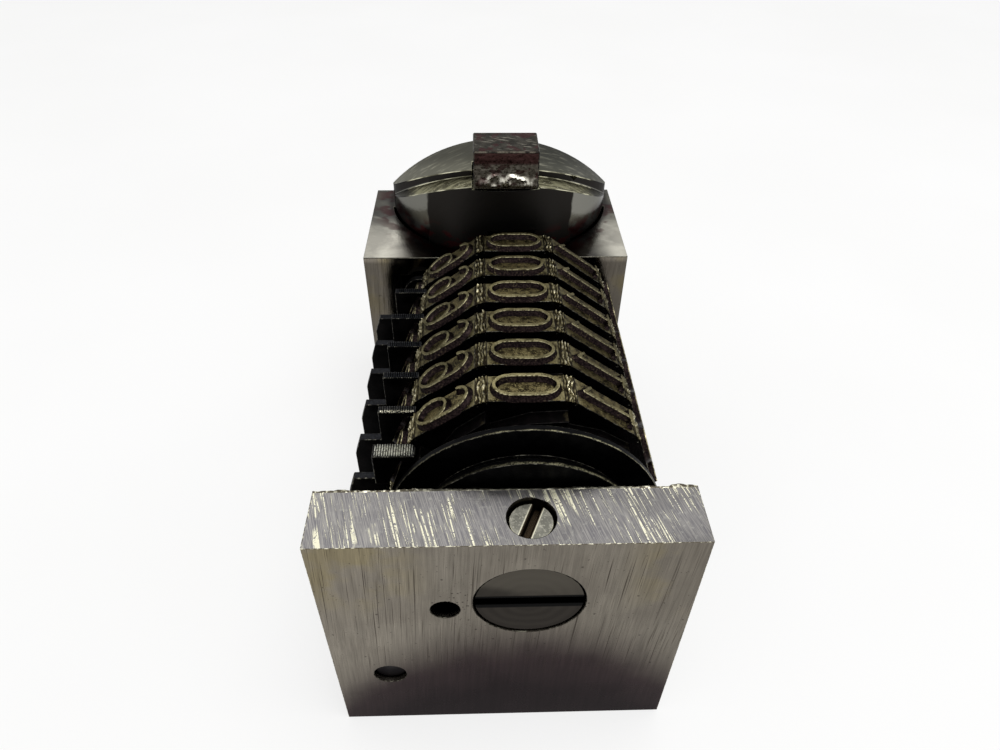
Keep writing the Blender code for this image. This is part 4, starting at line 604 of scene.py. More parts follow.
def plunger_steel():
    """Polished steel: a darker crown, a rubbed ledge, a round front painted dark in its middle as a reflection of the
    dark wheels, and red ink low on it.
    """
    r = Recipe("plunger_steel")
    top = r.ramp(r.nz, 0.45, 0.65)
    cloud = r.grain((2.0, 2.0, 2.0), 4.0)
    fine = r.grain((0.12, 0.12, 0.12), 3.0)
    rubbing = r.grain((1.6, 0.3, 0.5), 4.0, (0.0, 0.0, math.radians(18)))
    crown_plan, _ = r.polar(r.x, r.y, CROWN_AXIS)
    crown = r.ramp(crown_plan, CROWN_RADIUS + 0.04, CROWN_RADIUS)
    crown_colour = r.mix(r.ramp(r.math("ADD", r.x, r.both(cloud, 8.0)), 0.0, 9.0), srgb(92, 91, 80), srgb(66, 66, 58))
    crown_colour = r.mix(r.ramp(rubbing, 0.52, 0.74, 0.0, 0.5), crown_colour, srgb(158, 156, 138))
    # Painted shading: the crown is lighter along its front rim and darker towards its middle, as on a rounded top
    crown_colour = r.shade(crown_colour, r.ramp(crown_plan, CROWN_RADIUS - 3.2, CROWN_RADIUS - 0.3, 0.62, 1.35))
    ledge = r.mix(r.ramp(rubbing, 0.38, 0.62), srgb(80, 77, 60), srgb(150, 147, 118))
    ledge = r.mix(r.ramp(fine, 0.60, 0.70, 0.0, 0.7), ledge, srgb(222, 218, 192))
    ends = r.ramp(r.apart(r.x, PLUNGER_AXIS[0]), LEDGE_REACH - 0.8, LEDGE_REACH + 0.6, 0.0, 0.9)
    ledge = r.mix(ends, ledge, srgb(30, 29, 27))
    flat = r.mix(crown, ledge, crown_colour)
    # Painted reflection: the middle of the round front is dark because the dark wheels show in it. The riser above the
    # ledge is dark too, and the front is darker low down and towards the left.
    edge = r.math("ADD", r.apart(r.x, 0.35), r.both(cloud, 0.8))
    painted_reflection_zone = r.ramp(edge, 6.30, 6.50, 1.0, 0.0)
    step = r.ramp(above_ledge(r), 0.05, 0.12)
    wall = r.mix(r.ramp(r.z, 21.0, 22.4), srgb(50, 50, 52), srgb(122, 121, 114))
    wall = r.shade(wall, r.ramp(r.x, -2.0, 2.0, 0.80, 1.0))
    wall = r.mix(r.either(painted_reflection_zone, step), wall, srgb(38, 36, 34))
    colour = r.mix(top, wall, flat)
    ink = r.both(r.ramp(r.grain((1.5, 1.1, 0.7), 3.0), 0.46, 0.58), r.ramp(r.z, 22.4, 21.0))
    colour = r.mix(r.both(ink, 0.8), colour, srgb(62, 24, 26))
    roughness = r.mix(top, r.ramp(painted_reflection_zone, 0.0, 1.0, 0.16, 0.42), r.ramp(cloud, 0.3, 0.7, 0.30, 0.42))
    return r.finish(colour, 1.0, roughness, rubbing, 0.01)


def slug_metal():
    """The slug: grey type metal, dented, with dark red ink on its top and along its front edge."""
    r = Recipe("slug_metal")
    cloud = r.grain((0.8, 0.8, 0.8), 3.0)
    fine = r.grain((0.16, 0.16, 0.16), 3.0)
    smear = r.grain((1.2, 0.22, 0.3), 3.0, (0.0, 0.0, math.radians(-24)))
    colour = r.mix(r.ramp(cloud, 0.35, 0.65), srgb(42, 40, 34), srgb(66, 63, 56))
    colour = r.mix(r.ramp(smear, 0.58, 0.68, 0.0, 0.8), colour, srgb(140, 136, 124))
    colour = r.mix(r.both(r.ramp(r.y, SLUG_FRONT + 0.2, SLUG_FRONT), 0.75), colour, srgb(122, 116, 106))
    # Painted highlights: bright patches on the cast relief in front of the slug's face
    relief = r.both(r.ramp(r.y, SLUG_FRONT - 0.01, SLUG_FRONT - 0.10), r.ramp(fine, 0.30, 0.48))
    colour = r.mix(relief, colour, srgb(206, 203, 190))
    band = r.both(r.ramp(r.z, 27.75, 28.05), r.ramp(r.y, SLUG_FRONT + 0.25, SLUG_FRONT - 0.05))
    red = r.either(r.both(band, 0.9), r.both(r.ramp(r.grain((0.9, 0.9, 0.6), 3.0), 0.52, 0.60), 0.75))
    colour = r.mix(red, colour, srgb(60, 28, 30))
    return r.finish(colour, 1.0, r.ramp(fine, 0.3, 0.7, 0.26, 0.44), r.math("ADD", cloud, smear), 0.03)


def spring_steel():
    r = Recipe("spring_steel")
    cloud = r.grain((0.8, 0.8, 0.8), 3.0)
    colour = r.mix(r.ramp(cloud, 0.35, 0.65), srgb(88, 86, 82), srgb(132, 130, 124))
    return r.finish(colour, 1.0, 0.3, cloud, 0.01)


def add_piece(name, mesh, body, slot, *nodes):
    """Shows a finished mesh, riding on a body, in place of the CAD nodes named."""
    piece = bpy.data.objects.new(name, mesh)
    bpy.context.scene.collection.objects.link(piece)
    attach(piece, body)
    if nodes:
        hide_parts(*nodes)
    return piece


def flat_faced_mesh(node):
    """A node's shape with its triangles joined into flat faces again."""
    shape = bmesh.new()
    shape.from_mesh(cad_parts[node].data)
    bmesh.ops.remove_doubles(shape, verts=shape.verts, dist=WELD * MM)
    bmesh.ops.dissolve_limit(shape, angle_limit=FLAT, verts=shape.verts, edges=shape.edges)
    shape.verts.index_update()
    points = [vertex.co.copy() for vertex in shape.verts]
    faces = [[vertex.index for vertex in face.verts] for face in shape.faces]
    shape.free()
    mesh = bpy.data.meshes.new(f"{node}_dressed")
    mesh.from_pydata(points, [], faces)
    return mesh


def room_beside(loop):
    """How far a face reaches inwards from one of its edges, to the edges that don't meet it: the least of three
    places along the edge."""
    start, end = loop.vert.co, loop.link_loop_next.vert.co
    along = (end - start).normalized()
    inward = loop.face.normal.cross(along)
    least = math.inf
    others = [other for other in loop.face.loops if other not in (loop, loop.link_loop_prev, loop.link_loop_next)]
    for share in (0.1, 0.5, 0.9):
        origin = start.lerp(end, share)
        for other in others:
            first, last = other.vert.co - origin, other.link_loop_next.vert.co - origin
            before, after = first.dot(along), last.dot(along)
            if before * after <= 0 and before != after:
                reach = first.lerp(last, before / (before - after)).dot(inward)
                if reach > 0:
                    least = min(least, reach)
    return least


def mark_worn_edges(mesh, width):
    """Gives the sharp edges a bevel weight, but for those beside a face too narrow to be rounded."""
    shape = bmesh.new()
    shape.from_mesh(mesh)
    weight = shape.edges.layers.float.new("bevel_weight_edge")
    for edge in shape.edges:
        if len(edge.link_faces) == 2 and edge.calc_face_angle() > EDGE_ANGLE:
            edge[weight] = float(min(room_beside(loop) for loop in edge.link_loops) > width * EDGE_ROOM)
    shape.to_mesh(mesh)
    shape.free()


def dress(node, body, slot, surface, edge, width):
    """A copy of a node with its sharp edges rounded and rubbed. The copy stands for the node."""
    mesh = flat_faced_mesh(node)
    mesh.materials.append(surface)
    mesh.materials.append(edge)
    mesh.shade_smooth()
    mesh.set_sharp_from_angle(angle=SHADE_ANGLE)
    mark_worn_edges(mesh, width * MM)
    piece = add_piece(f"{node}_dressed", mesh, body, slot, node)
    bevel = piece.modifiers.new("worn_edges", "BEVEL")
    bevel.width = width * MM
    bevel.segments = 2
    bevel.limit_method = "WEIGHT"
    bevel.use_clamp_overlap = False
    bevel.harden_normals = True
    bevel.material = 1
    return piece


def arc(centre, radii, start, stop):
    """Points along an ellipse, from one angle to another, in degrees."""
    first, last = math.radians(start), math.radians(stop)
    steps = max(2, math.ceil(abs(last - first) / CURVE_STEP))
    angles = [first + (last - first) * step / steps for step in range(steps + 1)]
    return [Vector((centre[0] + radii[0] * math.cos(a), centre[1] + radii[1] * math.sin(a))) for a in angles]


def straight(first, last, steps=6):
    return [Vector(first).lerp(Vector(last), step / steps) for step in range(steps + 1)]


def figure_strokes(figure):
    """The centre-lines of a figure and whether each is closed. Up is the top of the figure."""
    wide, tall, half = HALF_WIDE, HALF_TALL, STRAIGHT_HALF
    end = tall - half
    if figure == 0:
        ring = arc((0, half), (wide, end), 0, 180) + straight((-wide, half), (-wide, -half))[1:-1]
        ring += arc((0, -half), (wide, end), 180, 360) + straight((wide, -half), (wide, half))[1:-1]
        return [(ring, True)]
    if figure == 1:
        return [(straight((0.1, -tall), (0.1, tall)), False), (straight((0.1, tall), (-wide * 0.6, tall * 0.72)), False),
                (straight((-wide * 0.6, -tall), (wide * 0.8, -tall)), False)]
    if figure == 2:
        curve = arc((0, half), (wide, end), 170, -25)
        return [(curve + straight(curve[-1], (-wide, -tall))[1:], False),
                (straight((-wide, -tall), (wide, -tall)), False)]
    if figure == 3:
        return [(arc((0, tall * 0.48), (wide * 0.92, tall * 0.52), 155, -90), False),
                (arc((0, -tall * 0.52), (wide, tall * 0.48), 90, -155), False)]
    if figure == 4:
        return [(straight((0.3, -tall), (0.3, tall)), False),
                (straight((0.3, tall), (-wide, -tall * 0.38)), False),
                (straight((-wide, -tall * 0.38), (wide, -tall * 0.38)), False)]
    if figure == 5:
        return [(straight((-wide * 0.85, tall), (wide * 0.9, tall)), False),
                (straight((-wide * 0.85, tall), (-wide * 0.9, tall * 0.1)), False),
                (arc((0, -tall * 0.36), (wide, tall * 0.64), 135, -150), False)]
    if figure == 7:
        return [(straight((-wide, tall), (wide, tall)), False), (straight((wide, tall), (-0.15, -tall)), False)]
    if figure == 8:
        return [(arc((0, tall * 0.50), (wide * 0.85, tall * 0.50), 0, 348), True),
                (arc((0, -tall * 0.49), (wide, tall * 0.51), 0, 348), True)]
    hook = straight((-wide, -tall * 0.42), (-wide, half)) + arc((0, half), (wide, end), 180, 20)[1:]
    ring = arc((0, -tall * 0.42), (wide, tall * 0.58), 0, 348)
    strokes = [(ring, True), (hook, False)]
    if figure == 9:
        strokes = [([-point for point in line], closed) for line, closed in strokes]
    return strokes


def stroke_sides(line, closed):
    """The direction to the left at each point of a centre-line."""
    count = len(line)
    sides = []
    for index in range(count):
        before = line[(index - 1) % count] if closed else line[max(index - 1, 0)]
        after = line[(index + 1) % count] if closed else line[min(index + 1, count - 1)]
        along = (after - before).normalized()
        sides.append(Vector((-along.y, along.x)))
    return sides


def stroke_loops(line, closed, half, stress):
    """The outline round a centre-line, wider where it runs along the figure: one loop if open, two if closed."""
    sides = stroke_sides(line, closed)
    halves = [half + stress * side.x ** 2 for side in sides]
    left = [point + side * reach for point, side, reach in zip(line, sides, halves)]
    right = [point - side * reach for point, side, reach in zip(line, sides, halves)]
    if closed:
        return [left, right]

    def cap(end, side):
        reach = half + stress * side.x ** 2
        turns = [math.pi * step / CAP_STEPS for step in range(1, CAP_STEPS)]
        along = Vector((side.y, -side.x))
        return [end + side * reach * math.cos(turn) + along * reach * math.sin(turn) for turn in turns]

    return [left + cap(line[-1], sides[-1]) + right[::-1] + cap(line[0], -sides[0])]


def stroke_shape(line, closed, drop):
    """One stroke as a closed ridge. A small drop keeps the tops of crossing strokes apart."""
    shape = bmesh.new()
    rings = []
    for half, height, stress, _ in STROKE_LEVELS:
        loops = stroke_loops(line, closed, half, stress)
        rings.append([[shape.verts.new((p.x, p.y, height - drop)) for p in loop] for loop in loops])
    for level, below, above in zip(STROKE_LEVELS, rings, rings[1:]):
        for low, high in zip(below, above):
            count = len(low)
            for index in range(count):
                after = (index + 1) % count
                shape.faces.new((low[index], low[after], high[after], high[index])).material_index = level[-1]
    for loops in (rings[0], rings[-1]):
        if closed:
            count = len(loops[0])
            for index in range(count):
                after = (index + 1) % count
                shape.faces.new((loops[0][index], loops[0][after], loops[1][after], loops[1][index]))
        else:
            shape.faces.new(loops[0])
    bmesh.ops.recalc_face_normals(shape, faces=shape.faces)
    mesh = bpy.data.meshes.new("stroke")
    for surface in FIGURE_SURFACES:
        mesh.materials.append(surface)
    shape.to_mesh(mesh)
    shape.free()
    return mesh


def joined(meshes):
    """The union of closed meshes."""
    objects = [bpy.data.objects.new("stroke", mesh) for mesh in meshes]
    for item in objects:
        bpy.context.scene.collection.objects.link(item)
    for other in objects[1:]:
        union = objects[0].modifiers.new("union", "BOOLEAN")
        union.operation = "UNION"
        union.solver = "EXACT"
        union.object = other
    graph = bpy.context.evaluated_depsgraph_get()
    result = bpy.data.meshes.new_from_object(objects[0].evaluated_get(graph))
    for item in objects:
        bpy.data.objects.remove(item)
    return result


def figure_mesh(figure):
    strokes = figure_strokes(figure)
    meshes = [stroke_shape(line, closed, STROKE_STEP_DOWN * order) for order, (line, closed) in enumerate(strokes)]
    return joined(meshes) if len(meshes) > 1 else meshes[0]


def worn(point, size, amount):
    """A small fixed shift that depends on the place, in millimetres."""
    return Vector(noise.noise_vector(Vector(point) / size)) * amount


def placed_figure(source, wheel, facet, middle_y):
    """A figure's mesh set mirrored on one facet of a wheel, with its own wear."""
    angle = TOP_FACET + FACET_TURN * facet
    outward = Vector((math.cos(angle), 0, math.sin(angle)))
    upward = Vector((-math.sin(angle), 0, math.cos(angle)))
    axis = Vector((WHEEL_AXIS[0], middle_y, WHEEL_AXIS[1]))
    shape = bmesh.new()
    shape.from_mesh(source)
    for vertex in shape.verts:
        sideways, along, height = vertex.co
        point = axis + outward * (LAND_APOTHEM + height) + upward * along - Vector((0, sideways, 0))
        if height > 0.1:
            point += worn(point, FIGURE_WEAR_SIZE, FIGURE_WEAR)
        vertex.co = point * MM
    bmesh.ops.recalc_face_normals(shape, faces=shape.faces)
    mesh = bpy.data.meshes.new(f"figure_{wheel}_{facet}")
    for surface in FIGURE_SURFACES:
        mesh.materials.append(surface)
    shape.to_mesh(mesh)
    shape.free()
    mesh.shade_smooth()
    mesh.set_sharp_from_angle(angle=SHADE_ANGLE)
    return mesh


def node_box(node):
    low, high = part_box(node)
    return low / MM, high / MM


def add_figures():
    meshes = [figure_mesh(figure) for figure in range(FACETS)]
    for wheel in range(1, WHEELS + 1):
        _, high = node_box(f"type_wheel_{wheel}")
        for facet in range(FACETS):
            figure = (FACETS - facet) % FACETS
            mesh = placed_figure(meshes[figure], wheel, facet, high.y - TYPE_RING_WIDTH / 2)
            add_piece(f"figure_{wheel}_{facet}", mesh, f"wheel_{wheel}", "worn_wheel_steel")
    for mesh in meshes:
        bpy.data.meshes.remove(mesh)


def relief(shape, rows, drop):
    """A sheet of points made into a closed solid that stands on a flat root."""
    grid = [[shape.verts.new(point) for point in row] for row in rows]
    for before, after in zip(grid, grid[1:]):
        for index in range(len(before) - 1):
            shape.faces.new((before[index], before[index + 1], after[index + 1], after[index]))
    rim = grid[0] + [row[-1] for row in grid[1:-1]] + grid[-1][::-1] + [row[0] for row in grid[-2:0:-1]]
    roots = [shape.verts.new(vertex.co - drop) for vertex in rim]
    for index in range(len(rim)):
        after = (index + 1) % len(rim)
        shape.faces.new((rim[after], rim[index], roots[index], roots[after]))
    shape.faces.new(roots)


def shape_mesh(name, shape, surface):
    bmesh.ops.recalc_face_normals(shape, faces=shape.faces)
    bmesh.ops.scale(shape, vec=(MM, MM, MM), verts=shape.verts)
    mesh = bpy.data.meshes.new(name)
    shape.to_mesh(mesh)
    shape.free()
    mesh.materials.append(surface)
    mesh.shade_smooth()
    mesh.set_sharp_from_angle(angle=SHADE_ANGLE)
    return mesh


def add_ribs(wheel, surface):
    """The frayed ribs that run across the ten corners of a wheel's type ring."""
    _, high = node_box(f"type_wheel_{wheel}")
    across, along = RIB_STEPS
    shape = bmesh.new()
    for corner in range(FACETS):
        angle = TOP_FACET + FACET_TURN * (corner + 0.5)
        outward = Vector((math.cos(angle), 0, math.sin(angle)))
        sideways = Vector((-math.sin(angle), 0, math.cos(angle)))
        rows = []
        for step in range(along):
            y = high.y + RIB_OVERHANG - (TYPE_RING_WIDTH + 2 * RIB_OVERHANG) * step / (along - 1)
            row = []
            for index in range(across):
                shift = RIB_HALF_WIDTH * (2 * index / (across - 1) - 1)
                waver = noise.noise(Vector((shift * 2.0, y * 1.3, corner * 7.0 + wheel)))
                phase = (shift + waver * 0.16) / RIB_PITCH
                ridge = 1 - abs(2 * (phase - math.floor(phase)) - 1)
                fray = 0.50 + 1.2 * noise.noise(Vector((round(phase) * 3.1, y * 2.6, corner * 5.0 + wheel * 3.0)))
                edge = 1 - (abs(shift) / RIB_HALF_WIDTH) ** 4
                height = RIB_RISE * max(0.0, ridge * fray) * edge - 0.02
                row.append(WHEEL_CENTRE + outward * (RIB_APOTHEM + height) + sideways * shift + Vector((0, y, 0)))
            rows.append(row)
        relief(shape, rows, outward * RIB_ROOT)
    mesh = shape_mesh(f"corner_ribs_{wheel}", shape, surface)
    add_piece(f"corner_ribs_{wheel}", mesh, f"wheel_{wheel}", "worn_wheel_steel")


def add_ridges(number, surface):
    """The ridges, running front to back, on the top of a pawl's finger tab."""
    low, high = node_box(f"retaining_pawl_{number}")
    back = low.y + PAD_DEPTH + PLATE_THICKNESS if number == 1 else low.y + PLATE_THICKNESS + HUB_LEAD
    front = low.y if number == 1 else low.y + HUB_LEAD
    left, right = TAB_LEFT, TAB_RIGHT + (PAD_REACH if number == 1 else 0.0)
    steps = round((right - left) / RIDGE_PITCH) * 4
    shape = bmesh.new()
    rows = []
    for step in range(steps + 1):
        x = left + (right - left) * step / steps
        near_end = max(0.0, 1 - min(x - left, right - x) / TAB_ROUND)
        inset = TAB_ROUND * 0.6 * (1 - math.sqrt(1 - near_end ** 2))
        drop = 0.10 * near_end ** 2
        ridge = RIDGE_RISE * (0.5 + 0.5 * math.cos(math.pi * step / 2)) * (0.8 + 0.4 * noise.noise(Vector((x * 3, number, 0))))
        row = []
        for share, sink in ((0.0, 0.07), (0.1, 0.02), (0.25, 0.0), (0.5, 0.0), (0.75, 0.0), (0.92, 0.02), (1.0, 0.06)):
            y = front + inset + (back - front - 2 * inset) * share
            row.append(Vector((x, y, TAB_TOP + 0.012 + ridge - sink - drop)))
        rows.append(row)
    relief(shape, rows, Vector((0, 0, RIDGE_ROOT)))
    mesh = shape_mesh(f"tab_ridges_{number}", shape, surface)
    add_piece(f"tab_ridges_{number}", mesh, f"retaining_pawl_{number}", "blackened_steel")


def add_burr(name, y, z, outward, reach, surface):
    """A worn, wavy lip along an edge of the front wall's top, from side to side."""
    half = CASE_HALF - 0.02
    steps = round(2 * half / BURR_STEP)
    shape = bmesh.new()
    loops = []
    for step in range(steps + 1):
        x = -half + 2 * half * step / steps
        wide = noise.noise(Vector((x * 0.9, y, 3.0))) + 0.5 * noise.noise(Vector((x * 3.5, y, 9.0)))
        jut = reach * min(1.0, max(0.04, 0.3 + 1.0 * wide))
        rise = 0.012 + 0.03 * max(0.0, noise.noise(Vector((x * 2.5, y, 21.0))))
        section = ((-0.12, -0.004), (-0.05, rise), (jut * 0.6, rise * 0.7), (jut, -BURR_HEIGHT * 0.5),
                   (jut * 0.5, -BURR_HEIGHT), (-0.10, -BURR_HEIGHT))
        loops.append([shape.verts.new((x, y + outward * across, z + up)) for across, up in section])
    for before, after in zip(loops, loops[1:]):
        count = len(before)
        for index in range(count):
            other = (index + 1) % count
            shape.faces.new((before[index], before[other], after[other], after[index]))
    shape.faces.new(loops[0])
    shape.faces.new(loops[-1])
    mesh = shape_mesh(name, shape, surface)
    add_piece(name, mesh, "case", "ground_case_steel")


def add_coil(side, surface):
    """A plunger spring: a helix of round wire, closed at both ends."""
    node = f"plunger_spring_{side}"
    low, high = node_box(node)
    centre = (low + high) / 2
    radius = (high.x - low.x) / 2 - SPRING_WIRE
    bottom, height = low.z + SPRING_WIRE, high.z - low.z - 2 * SPRING_WIRE
    count = SPRING_TURNS * COIL_STEPS
    line = []
    for step in range(count + 1):
        turn = SPRING_TURNS * math.tau * step / count
        line.append(Vector((centre.x + radius * math.cos(turn), centre.y + radius * math.sin(turn),
                            bottom + height * step / count)))
    shape = bmesh.new()
    rings = []
    for step, point in enumerate(line):
        turn = SPRING_TURNS * math.tau * step / count
        outward = Vector((math.cos(turn), math.sin(turn), 0))
        ring = []
        for index in range(WIRE_STEPS):
            around = math.tau * index / WIRE_STEPS
            offset = outward * math.cos(around) + Vector((0, 0, math.sin(around)))
            ring.append(shape.verts.new(point + offset * SPRING_WIRE))
        rings.append(ring)
    for before, after in zip(rings, rings[1:]):
        for index in range(WIRE_STEPS):
            other = (index + 1) % WIRE_STEPS
            shape.faces.new((before[index], before[other], after[other], after[index]))
    shape.faces.new(rings[0])
    shape.faces.new(rings[-1])
    piece = add_piece(f"{node}_coil", shape_mesh(f"{node}_coil", shape, surface), "case", "spring_steel", node)
    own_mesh(piece)


def add_slug_relief(surface):
    """Cast ornament on the slug's front: three scallops over a row of studs, all of it generic."""
    low, high = node_box("plunger_slug")
    middle = (low.x + high.x) / 2
    columns, levels = 49, 27
    bottom, top = low.z + 0.15, high.z - 0.12
    shape = bmesh.new()
    rows = []
    for level in range(levels):
        z = bottom + (top - bottom) * level / (levels - 1)
        row = []
        for column in range(columns):
            x = low.x + 0.1 + (high.x - low.x - 0.2) * column / (columns - 1)
            dent = noise.noise_vector(Vector((x * 0.9, z * 0.9, 11.0)))
            u = (x - middle + 0.35 * dent.x) / 1.7 + 0.5
            scallop = math.hypot(u - round(u), (z - bottom - 0.45 + 0.3 * dent.y) / 1.25)
            rim = max(0.0, 1 - abs(scallop - 0.40) / 0.14)
            stud = max(0.0, 1 - math.hypot(u * 2 - round(u * 2), (z - bottom - 0.2) * 2.4) / 0.42)
            worn_off = 0.55 + 1.0 * noise.noise(Vector((x * 1.1, z * 1.4, 5.0)))
            border = min(1.0, 6 * column / (columns - 1), 6 * (1 - column / (columns - 1)))
            border *= min(1.0, 6 * level / (levels - 1), 6 * (1 - level / (levels - 1)))
            height = border * (0.03 + 0.28 * min(1.0, rim ** 0.7 + stud ** 0.7) * max(0.2, worn_off))
            row.append(Vector((x, low.y - height, z)))
        rows.append(row)
    relief(shape, rows, Vector((0, -0.10, 0)))
    mesh = shape_mesh("slug_relief", shape, surface)
    add_piece("slug_relief", mesh, "plunger", "plunger_steel")


def add_camera():
    camera = bpy.data.cameras.new("photo_camera")
    camera.lens = CAMERA_LENS
    camera.clip_start = MM
    holder = bpy.data.objects.new("photo_camera", camera)
    bpy.context.scene.collection.objects.link(holder)
    turn = Matrix.Rotation(-CAMERA_YAW, 4, "Z") @ Matrix.Rotation(math.pi / 2 - CAMERA_PITCH, 4, "X")
    holder.matrix_world = Matrix.Translation(CAMERA_PLACE) @ turn @ Matrix.Rotation(CAMERA_ROLL, 4, "Z")
    bpy.context.scene.camera = holder


def seen_directly(tree):
    """1 for what the camera sees, straight or in metal or glass."""
    path = tree.nodes.new("ShaderNodeLightPath")
    total = path.outputs["Is Camera Ray"]
    for name in ("Is Glossy Ray", "Is Transmission Ray"):
        add = tree.nodes.new("ShaderNodeMath")
        add.operation = "ADD"
        add.use_clamp = True
        tree.links.new(total, add.inputs[0])
        tree.links.new(path.outputs[name], add.inputs[1])
        total = add.outputs[0]
    return total


def add_world():
    world = bpy.data.worlds.new("studio")
    world.use_nodes = True
    tree = world.node_tree
    level = tree.nodes.new("ShaderNodeMapRange")
    level.inputs["To Min"].default_value = FILL
    level.inputs["To Max"].default_value = 1.0
    tree.links.new(seen_directly(tree), level.inputs["Value"])
    tree.nodes["Background"].inputs["Color"].default_value = (1.0, 1.0, 1.0, 1.0)
    tree.links.new(level.outputs[0], tree.nodes["Background"].inputs["Strength"])
    bpy.context.scene.world = world


def add_lamp():
    lamp = bpy.data.lights.new("soft_box", "AREA")
    lamp.size = LAMP_SIZE
    lamp.energy = LAMP_POWER
    holder = bpy.data.objects.new("soft_box", lamp)
    bpy.context.scene.collection.objects.link(holder)
    holder.location = LAMP_PLACE
    holder.rotation_euler = (Vector(LAMP_AIM) - Vector(LAMP_PLACE)).to_track_quat("-Z", "Y").to_euler()


def add_floor():
    """A pale floor. Part of what the camera sees of it is its own white, more so far away, so that only the
    shadow stands out and no horizon shows."""
    shape = bmesh.new()
    bmesh.ops.create_grid(shape, x_segments=1, y_segments=1, size=FLOOR_SIZE)
    mesh = bpy.data.meshes.new("floor")
    shape.to_mesh(mesh)
    shape.free()
    r = Recipe("floor")
    tone = r.grain((40.0, 40.0, 40.0), 3.0)
    material = r.finish(r.mix(r.ramp(tone, 0.3, 0.7), srgb(244, 244, 242), srgb(250, 250, 249)), 0.0, 0.7)
    glow = r.tree.nodes.new("ShaderNodeEmission")
    blend = r.tree.nodes.new("ShaderNodeMixShader")
    distance, _ = r.polar(r.x, r.y, (0.0, 0.0))
    share = r.both(seen_directly(r.tree), r.ramp(distance, FLOOR_NEAR, FLOOR_FAR, FLOOR_LIFT, 1.0))
    r.tree.links.new(share, blend.inputs[0])
    r.tree.links.new(r.shader.outputs[0], blend.inputs[1])
    r.tree.links.new(glow.outputs[0], blend.inputs[2])
    r.tree.links.new(blend.outputs[0], r.tree.nodes["Material Output"].inputs["Surface"])
    mesh.materials.append(material)
    floor = bpy.data.objects.new("floor", mesh)
    bpy.context.scene.collection.objects.link(floor)


# Places that the frame doesn't give by itself, in millimetres, and sizes read from it
WHEELS = sum(name.startswith("type_wheel_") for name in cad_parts)
WHEEL_AXIS = (1.3, 14.52)
WHEEL_CENTRE = Vector((WHEEL_AXIS[0], 0, WHEEL_AXIS[1]))
TYPE_RING_WIDTH = 2.28
CORNER_STRIP = 0.8
FIRST_CORNER = TOP_FACET - FACET_TURN / 2
LAND_APOTHEM = node_box("type_wheel_1")[1].z - WHEEL_AXIS[1]
FRONT_RIM_MIDDLE = 4.47
REAR_RIM_MIDDLE = 5.62
HALF_FLAT = LAND_APOTHEM * math.tan(FACET_TURN / 2) - CORNER_STRIP / 2 / math.cos(FACET_TURN / 2)
RIB_APOTHEM = LAND_APOTHEM * math.cos(FACET_TURN / 2) + HALF_FLAT * math.sin(FACET_TURN / 2)
TAB_LEFT, TAB_RIGHT = -8.05, -5.60
TAB_TOP = node_box("retaining_pawl_2")[1].z
PLATE_THICKNESS = 0.6
HUB_LEAD = 0.05
PAD_DEPTH = 0.5
PAD_REACH = 0.15
CASE_HALF = node_box("case")[1].x
CASE_FRONT = node_box("case")[0].y
CASE_TOP = node_box("case")[1].z
WALL_THICKNESS = 3.85
SCREW_TOP = node_box("shaft_lock_screw")[1].z
SCREW_AXIS = (1.3, CASE_FRONT + 1.8)
SCREW_SLOT_TURN = math.radians(68)
LEDGE_TOP = 26.15
LEDGE_ARCH = 12.2
LEDGE_REACH = 7.6
PLUNGER_RADIUS = 9.7
PLUNGER_AXIS = (0.5, node_box("plunger")[0].y + PLUNGER_RADIUS)
CROWN_RADIUS = 11.0
CROWN_AXIS = (0.5, node_box("plunger")[0].y + 2.0 + CROWN_RADIUS)
SLUG_FRONT = node_box("plunger_slug")[0].y
SECOND_TAB = node_box("retaining_pawl_2")[0].y + HUB_LEAD
DIRTY_MIDDLE = (node_box("type_wheel_2")[1].y + node_box("type_wheel_3")[1].y - TYPE_RING_WIDTH) / 2
DIRTY_REACH = (node_box("type_wheel_3")[1].y - node_box("type_wheel_2")[1].y + TYPE_RING_WIDTH) / 2

bpy.context.scene.view_settings.view_transform = "Standard"
add_camera()
add_world()
add_lamp()
add_floor()

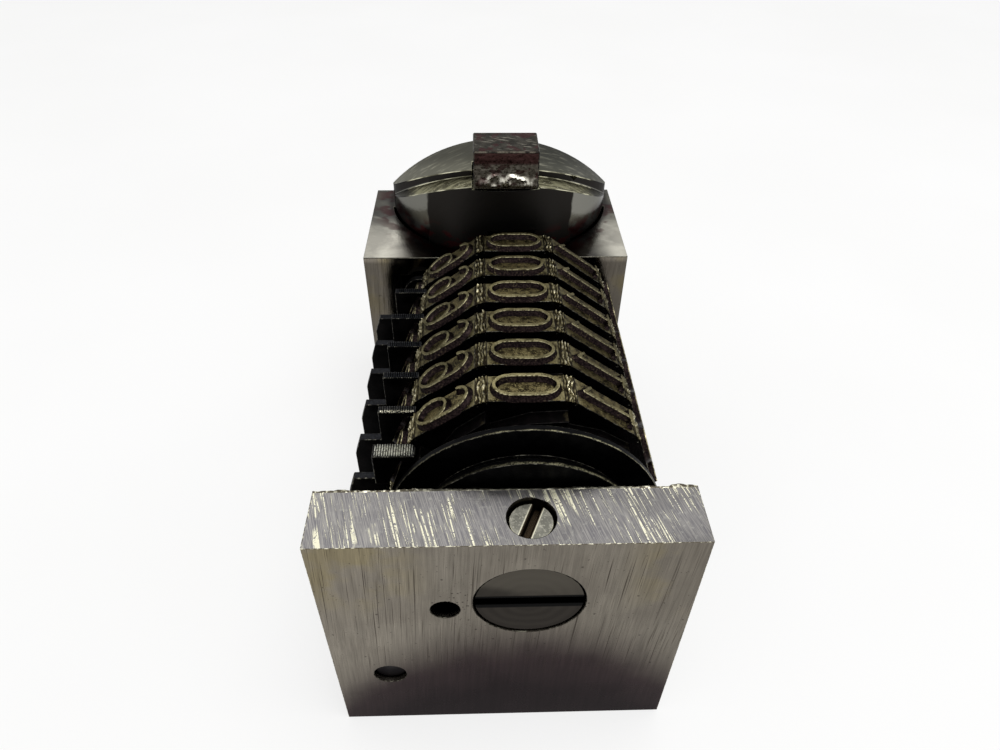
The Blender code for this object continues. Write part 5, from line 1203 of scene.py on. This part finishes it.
CASE = case_steel()
BRIGHT = bright_edge()
POLISHED = polished_edge()
BLACK = black_steel()
RUBBED = black_edge()
DULL = dull_edge()
WHEEL = wheel_steel()
SPRING = spring_steel()
PLUNGER = plunger_steel()
LIGHT = light_steel()
FIGURE_SURFACES = (figure_top(), figure_side(), figure_edge())
RIBS = rib_steel()
RIDGES = ridge_steel()
SLUG = slug_metal()

dress("case", "case", "ground_case_steel", CASE, BRIGHT, 0.05)
dress("wheel_shaft", "case", "polished_steel", turned_steel(), DULL, 0.03)
dress("shaft_lock_screw", "case", "polished_steel", LIGHT, POLISHED, 0.07)
dress("plunger", "plunger", "plunger_steel", PLUNGER, POLISHED, 0.05)
dress("plunger_slug", "plunger", "plunger_steel", SLUG, DULL, 0.12)
dress("retaining_pawl_shaft", "case", "blackened_steel", shaft_end_steel(), DULL, 0.05)
dress("swing_front_cheek", "swing", "blackened_steel", cheek_steel(), RUBBED, 0.03)
for node in ("swing_rear_arm", "drive_pin", "swing_bridge", "feed_pawl_shaft"):
    dress(node, "swing", "blackened_steel", BLACK, RUBBED, 0.035)
dress("feed_pawl", "feed_pawl", "blackened_steel", BLACK, RUBBED, 0.03)
for node in ("pawl_sleeve_front", "pawl_sleeve_rear"):
    dress(node, "case", "blackened_steel", BLACK, RUBBED, 0.04)
for node in ("comb_spring_screw_1", "comb_spring_screw_2"):
    dress(node, "case", "polished_steel", LIGHT, BRIGHT, 0.03)
dress("retaining_pawl_spring", "case", "spring_steel", SPRING, BRIGHT, 0.03)
for number in range(1, WHEELS + 1):
    dress(f"type_wheel_{number}", f"wheel_{number}", "worn_wheel_steel", WHEEL, RUBBED, 0.03)
    add_ribs(number, RIBS)
    pawl = f"retaining_pawl_{number}"
    dress(pawl, pawl, "blackened_steel", BLACK, RUBBED, 0.08 if number == 1 else 0.04)
    add_ridges(number, RIDGES)
add_figures()
add_burr("rear_burr", CASE_FRONT + WALL_THICKNESS, CASE_TOP, 1, 0.22, BRIGHT)
add_slug_relief(SLUG)
for side in ("left", "right"):
    add_coil(side, SPRING)
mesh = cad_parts["feed_pawl_spring"].data
mesh.materials.clear()
mesh.materials.append(SPRING)
